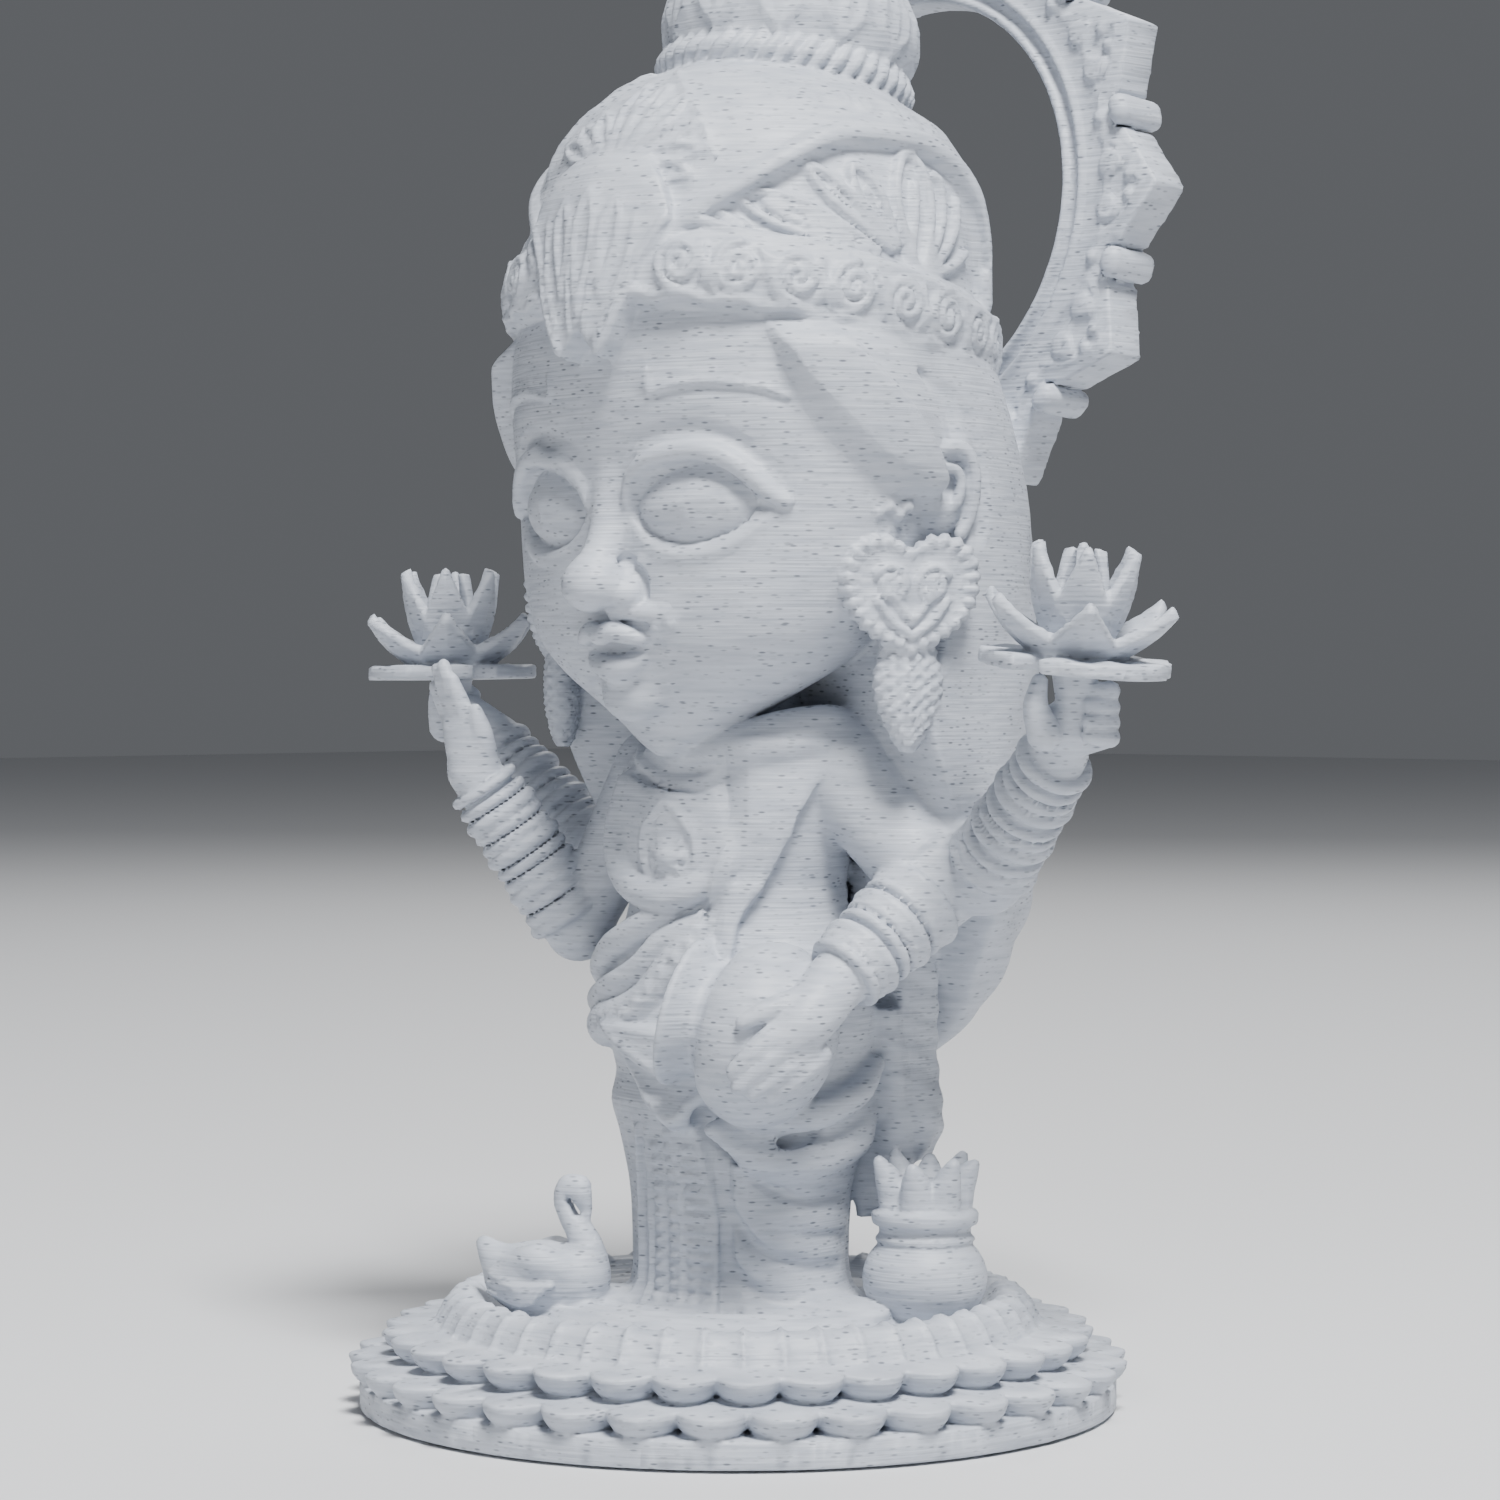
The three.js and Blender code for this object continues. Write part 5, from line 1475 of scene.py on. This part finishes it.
@dataclass
class Lotus:
    """Lotus flower with two rings of pointed petals, on a round notched leaf."""

    notch: float = -81
    leaf_radius: float = 10
    leaf_thick: float = 1.4

    def petal(self, clay: Clay, at: Placement, azimuth: float, lean: float, length: float,
              half: float) -> None:
        """Adds one cupped, pointed petal.

        Args:
            clay: What is sculpted.
            at: Where the flower stands.
            azimuth: Direction that the petal leans to, in degrees.
            lean: Its lean from upright, in degrees.
            length: Its length.
            half: Its half width.
        """
        own = Placement.turned((0, 0, 0.6), ("x", lean), ("z", azimuth))
        joined = np.array(at.turn) @ np.array(own.turn)
        place = Placement(tuple(at.world([own.origin])[0]), tuple(map(tuple, joined)))

        def form(x: Array, y: Array, z: Array) -> Array:
            """Gives the distance to the petal, which stands along z and is cupped towards +y."""
            t = np.clip(z / length, 0, 1)
            bow = np.maximum(np.sin(math.pi * t**0.75), 0) ** 0.85
            width = half * (bow * (1 - 0.4 * t) + 0.22 - 0.12 * t)
            cup = 0.16 * (x * x) / half + 1.1 * (2 * t - 1) ** 2 - 1.1
            thick = 0.75 - 0.25 * t + 0.25 * np.exp(-((x / 0.5) ** 2))
            shell = np.abs(y - cup) - thick
            return np.maximum(np.maximum(shell, (np.abs(x) - width) * 0.8), np.maximum(-z, z - length))

        clay.add(form, ((-half, -2, 0), (half, 3, length)), 0.2, place)

    def sculpt(self, clay: Clay, at: Placement) -> None:
        """Adds one lotus on its leaf.

        Args:
            clay: What is sculpted.
            at: Where the leaf's underside stands.
        """

        def leaf(x: Array, y: Array, z: Array) -> Array:
            """Gives the distance to the round leaf with its notch."""
            r = np.hypot(x, y)
            turn = np.arctan2(y, x) - math.radians(self.notch)
            angle = np.abs(np.arctan2(np.sin(turn), np.cos(turn)))
            notch = (0.14 - angle) * r * step_up(r, 4.4, 4.6)
            flat = np.maximum(r - self.leaf_radius - 0.15 * np.cos(5 * angle), notch)
            vein = 0.12 * np.cos(angle * 9) * step_up(r, 3, 5)
            return np.maximum(flat, np.maximum(-z, z - self.leaf_thick + vein - 0.15))

        reach = self.leaf_radius + 0.3
        clay.add(leaf, ((-reach, -reach, 0), (reach, reach, self.leaf_thick)), 0.3, at)
        for count, lean, length, half, offset in ((6, 58, 12.6, 3.5, 0.75), (6, 25, 13.6, 3.1, 0.7)):
            for i in range(count):
                self.petal(clay, at, (i + offset) / count * 360, lean, length, half)
        for i in range(3):
            self.petal(clay, at, i * 120 + 40, 8, 12.2, 2.3)


@dataclass
class Pots:
    """The pot held sideways at her left hip, and the water pot with mango leaves on the base."""

    held_centre: Vec3 = (13.4, -9.8, 42)
    held_axis: Vec3 = (-0.87, -0.424, 0.25)
    leaf_place: Vec3 = (21.4, 7.2, 10.2)
    leaf_turns: tuple[float, ...] = (-72, -17, 33, 84, 127, 171, 215)

    def held(self, clay: Clay) -> None:
        """Adds the pot at her hip, with its mouth open to her right."""
        at = Placement.along(self.held_centre, np.array(self.held_centre) + self.held_axis)
        arc = [(10.2 * math.sin(a), -7.8 * math.cos(a)) for a in np.linspace(0, 2.2, 13)]
        mouth = ((6.6, 5.4), (6, 6.2), (6.3, 7), (7.1, 8), (8.2, 8.9), (8.2, 9.6), (7.4, 9.7), (5.6, 7.4),
                 (5, 4), (0, 2))
        clay.turn((*arc, *mouth), 0.3, at)

    def leafy(self, clay: Clay) -> None:
        """Adds the water pot with its crown of leaves."""
        x, y, z = self.leaf_place
        at = Placement.turned((x, y, z - 0.4))
        belly = [(6.85 * math.sin(a), 5.2 - 5.6 * math.cos(a)) for a in np.linspace(0.6, 2.3, 10)]
        clay.turn(((0, 0), (3.6, 0), *belly, (5, 9.8), (5, 10.8), (5.8, 11.2), (5.9, 12.4), (5.2, 12.8),
                   (0, 12.8)), 0.2, at)
        collar = [(x + 5.2 * math.cos(a), y + 5.2 * math.sin(a), z + 9.1) for a in np.linspace(0, TAU, 33)]
        clay.line(collar, 0.3, 0.3)
        for i, turn in enumerate(self.leaf_turns):
            a = math.radians(turn + 44)
            leaf = [(x + r * math.sin(a), y - r * math.cos(a), z + up) for r, up in (
                (3, 11), (3.3, 13.4), (4.2, 15.6), (5.3, 17.6 - 0.5 * (i % 2)))]
            clay.line(smooth_path(leaf, 4), (2, 2, 1.5, 0.7), 0.1)


@dataclass
class Swan:
    """Swan on the base at her right, with its neck bent over and its beak on its breast."""

    place: Vec3 = (-13.2, -17.4, 10)
    turn: float = 28

    def sculpt(self, clay: Clay) -> None:
        """Adds the swan to the clay."""
        at = Placement.turned(self.place, ("z", self.turn))

        def lay(places: Places, radius: Radii, blend: float) -> None:
            """Lays a line through the swan's own places."""
            clay.line(at.world(smooth_path(places)), radius, blend)

        clay.ball(at.world([(0, 0, 4)])[0], (6.7, 4.4, 4.2), 0.6, (("z", self.turn),))
        clay.ball(at.world([(4.4, 0, 4.4)])[0], (3.1, 3.3, 3.8), 1.2, (("z", self.turn),))
        for side in (-1, 1):
            lay(((3, side * 2.8, 5.4), (0.4, side * 3.2, 6.3), (-2.6, side * 2.4, 5.6)), (1.6, 2, 1.4), 0.6)
            for i in range(3):
                feather = ((2.4 - i, side * 4.5, 3.8 - i * 0.9),
                           (-1.6, side * (4.5 - 0.2 * i), 3.4 - i * 0.8), (-5.4, side * 2.8, 4.8 - i))
                lay(feather, (0.4, 0.5, 0.3), 0.3)
        lay(((-3, 0, 4.4), (-5.2, 0, 5.8), (-6.9, 0, 7.6)), (2.8, 2, 0.9), 0.7)
        neck = ((5, 0, 4.6), (5.2, 0, 7), (4.4, 0, 9.2), (3, 0, 11.2), (2.45, 0, 12.8), (3, 0, 14.2),
                (4.2, 0, 14.2))
        lay(neck, (2.8, 2, 1.6, 1.2, 1.15, 1.35, 1.4), 0.4)
        clay.ball(at.world([(4.3, 0, 13.4)])[0], (1.35, 1.4, 1.4), 0.2)
        lay(((4.7, 0, 12.6), (5, 0, 11.6), (5.1, 0, 10.4)), (1, 0.7, 0.4), 0.1)
        for x, z in ((3.35, 12.7), (3.75, 12), (4.1, 11.4)):
            clay.line(at.world([(x, -3, z), (x, 3, z)]), 0.4, 0.1, Surface.CARVED)


@dataclass
class Skin:
    """Turns the clay into one mesh: surface nets, then a reduction to the triangle budget."""

    triangles: int = 196000

    def nets(self, clay: Clay) -> tuple[Array, Array]:
        """Finds the surface where the field changes sign.

        Args:
            clay: The sculpted clay.

        Returns:
            The corner points in millimetres, and the triangles.
        """
        values = clay.field
        inside = values < 0
        cells = tuple(n - 1 for n in values.shape)
        some = np.zeros(cells, bool)
        full = np.ones(cells, bool)
        offsets = [(i, j, k) for i in (0, 1) for j in (0, 1) for k in (0, 1)]
        for i, j, k in offsets:
            block = inside[i : i + cells[0], j : j + cells[1], k : k + cells[2]]
            some |= block
            full &= block
        cut = some & ~full
        where = np.argwhere(cut).astype(np.int32)
        index = np.full(cells, -1, np.int32)
        index[cut] = np.arange(len(where), dtype=np.int32)
        corner = [values[where[:, 0] + i, where[:, 1] + j, where[:, 2] + k] for i, j, k in offsets]
        total = np.zeros((len(where), 3))
        count = np.zeros(len(where))
        for a, first in enumerate(offsets):
            for b in range(a + 1, 8):
                second = offsets[b]
                if sum(abs(p - q) for p, q in zip(first, second)) != 1:
                    continue
                crossed = (corner[a] < 0) != (corner[b] < 0)
                gap = corner[a][crossed] - corner[b][crossed]
                t = (corner[a][crossed] / gap)[:, None]
                total[crossed] += np.array(first) + t * (np.array(second) - np.array(first))
                count[crossed] += 1
        points = clay.low + (where + total / count[:, None]) * clay.step
        return points, self.quads(inside, index)

    def quads(self, inside: Array, index: Array) -> Array:
        """Joins the four cells round every grid edge that crosses the surface.

        Args:
            inside: Whether each grid point is inside.
            index: Number of each cell's corner point.

        Returns:
            Triangles as rows of three numbers.
        """
        found = []
        for axis in range(3):
            first = [slice(1, -1)] * 3
            second = [slice(1, -1)] * 3
            first[axis] = slice(0, -1)
            second[axis] = slice(1, None)
            crossed = inside[tuple(first)] != inside[tuple(second)]
            at = np.argwhere(crossed)
            at += [0 if i == axis else 1 for i in range(3)]
            u, v = (axis + 1) % 3, (axis + 2) % 3
            ring = []
            for du, dv in ((0, 0), (1, 0), (1, 1), (0, 1)):
                cell = at.copy()
                cell[:, u] -= du
                cell[:, v] -= dv
                ring.append(index[cell[:, 0], cell[:, 1], cell[:, 2]])
            a, b, c, d = ring
            leaving = inside[at[:, 0], at[:, 1], at[:, 2]]
            b, d = np.where(leaving, b, d), np.where(leaving, d, b)
            found += [np.column_stack([a, b, c]), np.column_stack([a, c, d])]
        return np.vstack(found)

    def largest(self, points: Array, faces: Array) -> tuple[Array, Array]:
        """Keeps only the outer skin: the connected surface that reaches furthest down.

        Args:
            points: The corner points.
            faces: The triangles.

        Returns:
            The same for the kept surface.
        """
        label = np.arange(len(points))
        ends = np.vstack([faces[:, :2], faces[:, 1:]])
        while True:
            low = np.minimum(label[ends[:, 0]], label[ends[:, 1]])
            fresh = label.copy()
            np.minimum.at(fresh, ends[:, 0], low)
            np.minimum.at(fresh, ends[:, 1], low)
            fresh = fresh[fresh]
            if (fresh == label).all():
                break
            label = fresh
        kept = label == label[points[:, 2].argmin()]
        renumber = np.cumsum(kept) - 1
        return points[kept], renumber[faces[kept[faces[:, 0]]]]

    def mesh(self, clay: Clay, name: str) -> bpy.types.Object:
        """Builds the object.

        Args:
            clay: The sculpted clay.
            name: The object's name.

        Returns:
            The object, linked to the scene.
        """
        raw = self.build(name + "_raw", *self.nets(clay))
        log.info("sculpted surface: %d triangles", len(raw.data.polygons))
        thinner = raw.modifiers.new("thinner", "DECIMATE")
        thinner.ratio = min(1.0, self.triangles / len(raw.data.polygons))
        thinned = raw.evaluated_get(bpy.context.evaluated_depsgraph_get()).to_mesh()
        thinned.calc_loop_triangles()
        points = np.zeros(len(thinned.vertices) * 3)
        thinned.vertices.foreach_get("co", points)
        faces = np.zeros(len(thinned.loop_triangles) * 3, np.int32)
        thinned.loop_triangles.foreach_get("vertices", faces)
        kept = self.largest(points.reshape(-1, 3) / MM, faces.reshape(-1, 3))
        whole = raw.data
        bpy.data.objects.remove(raw)
        bpy.data.meshes.remove(whole)
        return self.build(name, *kept)

    def build(self, name: str, points: Array, faces: Array) -> bpy.types.Object:
        """Makes a smooth-shaded mesh object from points in millimetres and triangles."""
        mesh = bpy.data.meshes.new(name)
        mesh.vertices.add(len(points))
        mesh.vertices.foreach_set("co", (points * MM).astype(np.float32).ravel())
        mesh.loops.add(faces.size)
        mesh.loops.foreach_set("vertex_index", faces.astype(np.int32).ravel())
        mesh.polygons.add(len(faces))
        mesh.polygons.foreach_set("loop_start", np.arange(0, faces.size, 3, dtype=np.int32))
        mesh.polygons.foreach_set("use_smooth", np.ones(len(faces), bool))
        mesh.update(calc_edges=True)
        made = bpy.data.objects.new(name, mesh)
        bpy.context.scene.collection.objects.link(made)
        return made


def linear(colour: str) -> tuple[float, float, float, float]:
    """Turns an sRGB hex colour into linear red, green, blue and full alpha."""
    parts = [int(colour[i : i + 2], 16) / 255 for i in (1, 3, 5)]
    return (*(c / 12.92 if c <= 0.04045 else ((c + 0.055) / 1.055) ** 2.4 for c in parts), 1.0)


def add_node(tree: bpy.types.NodeTree, kind: str, settings: dict | None = None) -> bpy.types.Node:
    """Adds a shader node.

    Args:
        tree: The node tree.
        kind: The node's type name.
        settings: Values for its properties, and values or sockets for its inputs by number or name.

    Returns:
        The node.
    """
    node = tree.nodes.new(kind)
    for key, value in (settings or {}).items():
        if isinstance(key, int) or key in node.inputs:
            socket = node.inputs[key]
            if isinstance(value, bpy.types.NodeSocket):
                tree.links.new(value, socket)
            else:
                socket.default_value = value
        else:
            setattr(node, key, value)
    return node


@dataclass(frozen=True)
class MarblePla:
    """Marble-effect PLA, laid down in beads by a desktop printer.

    The plastic is pale grey and takes a slight gloss. Dark grains in it are dragged out along the beads, so
    the eye sees short dark dashes that lie level. Each layer leaves a fine level line. The real layers are
    finer than the ones here, which are drawn coarser so that they show at all.
    """

    body: str = "#bcc1ca"
    shade: str = "#a3a9b4"
    grain: str = "#4c525d"
    roughness: float = 0.5
    ior: float = 1.46
    grain_mm: tuple[float, float] = (1.5, 0.42)
    cloud_mm: tuple[float, float] = (5, 0.55)
    layer_mm: tuple[float, float] = (1000 / 90, 0.34)

    def make(self, name: str) -> bpy.types.Material:
        """Builds the material.

        Args:
            name: Its name.

        Returns:
            The material.
        """
        material = bpy.data.materials.new(name)
        material.use_nodes = True
        tree = material.node_tree
        tree.nodes.clear()
        place = add_node(tree, "ShaderNodeTexCoord").outputs["Object"]

        def stretched(size: tuple[float, float]) -> bpy.types.NodeSocket:
            """Gives places in which a pattern's cells have this width and height in millimetres."""
            wide, high = (1 / (length * MM) for length in size)
            return add_node(tree, "ShaderNodeMapping",
                            {"Scale": (wide, wide, high), "Vector": place}).outputs[0]

        def share(value: bpy.types.NodeSocket, low: float, high: float,
                  most: float) -> bpy.types.NodeSocket:
            """Turns a value into a share, from none at low to the most at high."""
            return add_node(tree, "ShaderNodeMapRange", {
                "Value": value, "From Min": low, "From Max": high, "To Min": 0.0,
                "To Max": most}).outputs[0]

        def mixed(amount: bpy.types.NodeSocket, first: object, second: object) -> bpy.types.NodeSocket:
            """Mixes two colours."""
            return add_node(tree, "ShaderNodeMix", {
                "data_type": "RGBA", 0: amount, 6: first, 7: second}).outputs[2]

        cells = add_node(tree, "ShaderNodeTexVoronoi", {"Vector": stretched(self.grain_mm), "Scale": 1.0})
        speck = share(cells.outputs["Distance"], 0.34, 0.16, 1.0)
        pick = add_node(tree, "ShaderNodeSeparateColor", {"Color": cells.outputs["Color"]})
        depth = share(pick.outputs[0], 0.15, 1.0, 0.8)
        dark = add_node(tree, "ShaderNodeMath", {"operation": "MULTIPLY", 0: speck, 1: depth})
        cloud = add_node(tree, "ShaderNodeTexNoise", {
            "Vector": stretched(self.cloud_mm), "Scale": 1.0, "Detail": 4.0})
        base = mixed(share(cloud.outputs["Fac"], 0.35, 0.8, 1.0), linear(self.body), linear(self.shade))
        layers = add_node(tree, "ShaderNodeTexNoise", {
            "Vector": stretched(self.layer_mm), "Scale": 1.0, "Detail": 1.0})
        ridges = add_node(tree, "ShaderNodeBump", {
            "Strength": 0.35, "Distance": 0.3 * MM, "Height": layers.outputs["Fac"]})
        shader = add_node(tree, "ShaderNodeBsdfPrincipled", {
            "Base Color": mixed(dark.outputs[0], base, linear(self.grain)), "Roughness": self.roughness,
            "IOR": self.ior, "Normal": ridges.outputs[0]})
        add_node(tree, "ShaderNodeOutputMaterial", {0: shader.outputs[0]})
        return material


@dataclass(frozen=True)
class PalePaper:
    """Matt seamless paper under the figurine: even and without gloss."""

    colour: str = "#d6d7d9"

    def make(self, name: str) -> bpy.types.Material:
        """Builds the material.

        Args:
            name: Its name.

        Returns:
            The material.
        """
        material = bpy.data.materials.new(name)
        material.use_nodes = True
        shader = material.node_tree.nodes["Principled BSDF"]
        shader.inputs["Base Color"].default_value = linear(self.colour)
        shader.inputs["Roughness"].default_value = 0.9
        return material


@dataclass
class Figurine:
    """The whole print as one piece."""

    spacing: float = 0.34
    quick_spacing: float = 0.6
    low: Vec3 = (-61, -45, -1.5)
    high: Vec3 = (61, 45, 174.5)
    left_lotus: Vec3 = (48, 0.4, 81.2)
    right_lotus: Vec3 = (-48, 0.4, 80.2)

    def sculpt(self) -> Clay:
        """Builds up the clay, part by part.

        Returns:
            The finished clay.
        """
        clay = Clay(self.low, self.high, self.spacing)
        for part in (LotusBase(), Dress(), Veil(), Face(), Crown(), Halo()):
            part.sculpt(clay)
            log.info("sculpted: %s", type(part).__name__)
        for side in Side:
            Earring().sculpt(clay, side)
        arms, pots = Arms(), Pots()
        arms.sculpt(clay)
        pots.held(clay)
        arms.holding_hand(clay)
        pots.leafy(clay)
        Swan().sculpt(clay)
        Lotus().sculpt(clay, Placement.turned(self.left_lotus, ("y", 7)))
        Lotus(notch=-19).sculpt(clay, Placement.turned(self.right_lotus, ("y", -1)))
        return clay

    def build(self) -> bpy.types.Object:
        """Makes the piece, dresses it and ties it to the frame.

        Returns:
            The figurine.
        """
        piece = Skin().mesh(self.sculpt(), "figurine_print")
        piece.data.materials.append(MarblePla().make("marble_effect_pla"))
        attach(piece, "root")
        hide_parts(NODE)
        return piece


@dataclass
class Studio:
    """Pale paper floor, soft lights and the camera."""

    azimuth: float = 44
    distance_mm: float = 461.5
    height_mm: float = 80.7
    lens: float = 99.4
    shift: tuple[float, float] = (0.008, -0.05)
    aim_height: float = 0.085
    sky: str = "#dfe3ea"
    sky_strength: float = 0.16

    def lamp(self, name: str, azimuth: float, elevation: float, distance: float, size: float,
             power: float) -> None:
        """Adds one soft area light that looks at the figurine.

        Args:
            name: Its name.
            azimuth: Its direction round the figurine in degrees, 0 in front.
            elevation: Its height in degrees above the horizon.
            distance: Its distance in metres.
            size: Its side in metres.
            power: Its power in watts.
        """
        data = bpy.data.lights.new(name, "AREA")
        data.size = size
        data.energy = power
        lamp = bpy.data.objects.new(name, data)
        a, e = math.radians(azimuth), math.radians(elevation)
        away = np.array((math.sin(a) * math.cos(e), -math.cos(a) * math.cos(e), math.sin(e)))
        lamp.location = away * distance + (0, 0, self.aim_height)
        lamp.rotation_euler = (math.pi / 2 - e, 0, a)
        bpy.context.scene.collection.objects.link(lamp)

    def floor(self) -> None:
        """Adds the paper floor."""
        bpy.ops.mesh.primitive_plane_add(size=6, location=(0, 0, -0.0003))
        paper = bpy.context.object
        paper.name = "paper_floor"
        paper.data.materials.append(PalePaper().make("matt_paper"))

    def camera(self) -> None:
        """Adds the camera at the photograph's angle."""
        data = bpy.data.cameras.new("camera")
        data.lens = self.lens
        data.sensor_width = 36
        data.shift_x, data.shift_y = self.shift
        data.clip_end = 20
        camera = bpy.data.objects.new("camera", data)
        a = math.radians(self.azimuth)
        reach = self.distance_mm * MM
        camera.location = (math.sin(a) * reach, -math.cos(a) * reach, self.height_mm * MM)
        camera.rotation_euler = (math.pi / 2, 0, a)
        bpy.context.scene.collection.objects.link(camera)
        bpy.context.scene.camera = camera

    def build(self) -> None:
        """Sets up floor, lights, surroundings and camera."""
        self.floor()
        self.lamp("key_light", 60, 58, 1.1, 0.3, 28)
        self.lamp("fill_light", 20, 18, 1.3, 0.5, 2.4)
        self.lamp("back_light", 215, 40, 1.2, 0.5, 5)
        world = bpy.data.worlds.new("studio")
        bpy.context.scene.world = world
        world.use_nodes = True
        background = world.node_tree.nodes["Background"]
        background.inputs["Color"].default_value = linear(self.sky)
        background.inputs["Strength"].default_value = self.sky_strength
        self.camera()


def main() -> None:
    """Builds the figurine and the studio, logging the triangle counts before and after reduction."""
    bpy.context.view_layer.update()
    piece = Figurine().build()
    log.info("%s: %d triangles", piece.name, len(piece.data.polygons))
    Studio().build()
    log.info("sizes written")


if __name__ == "__main__":
    main()
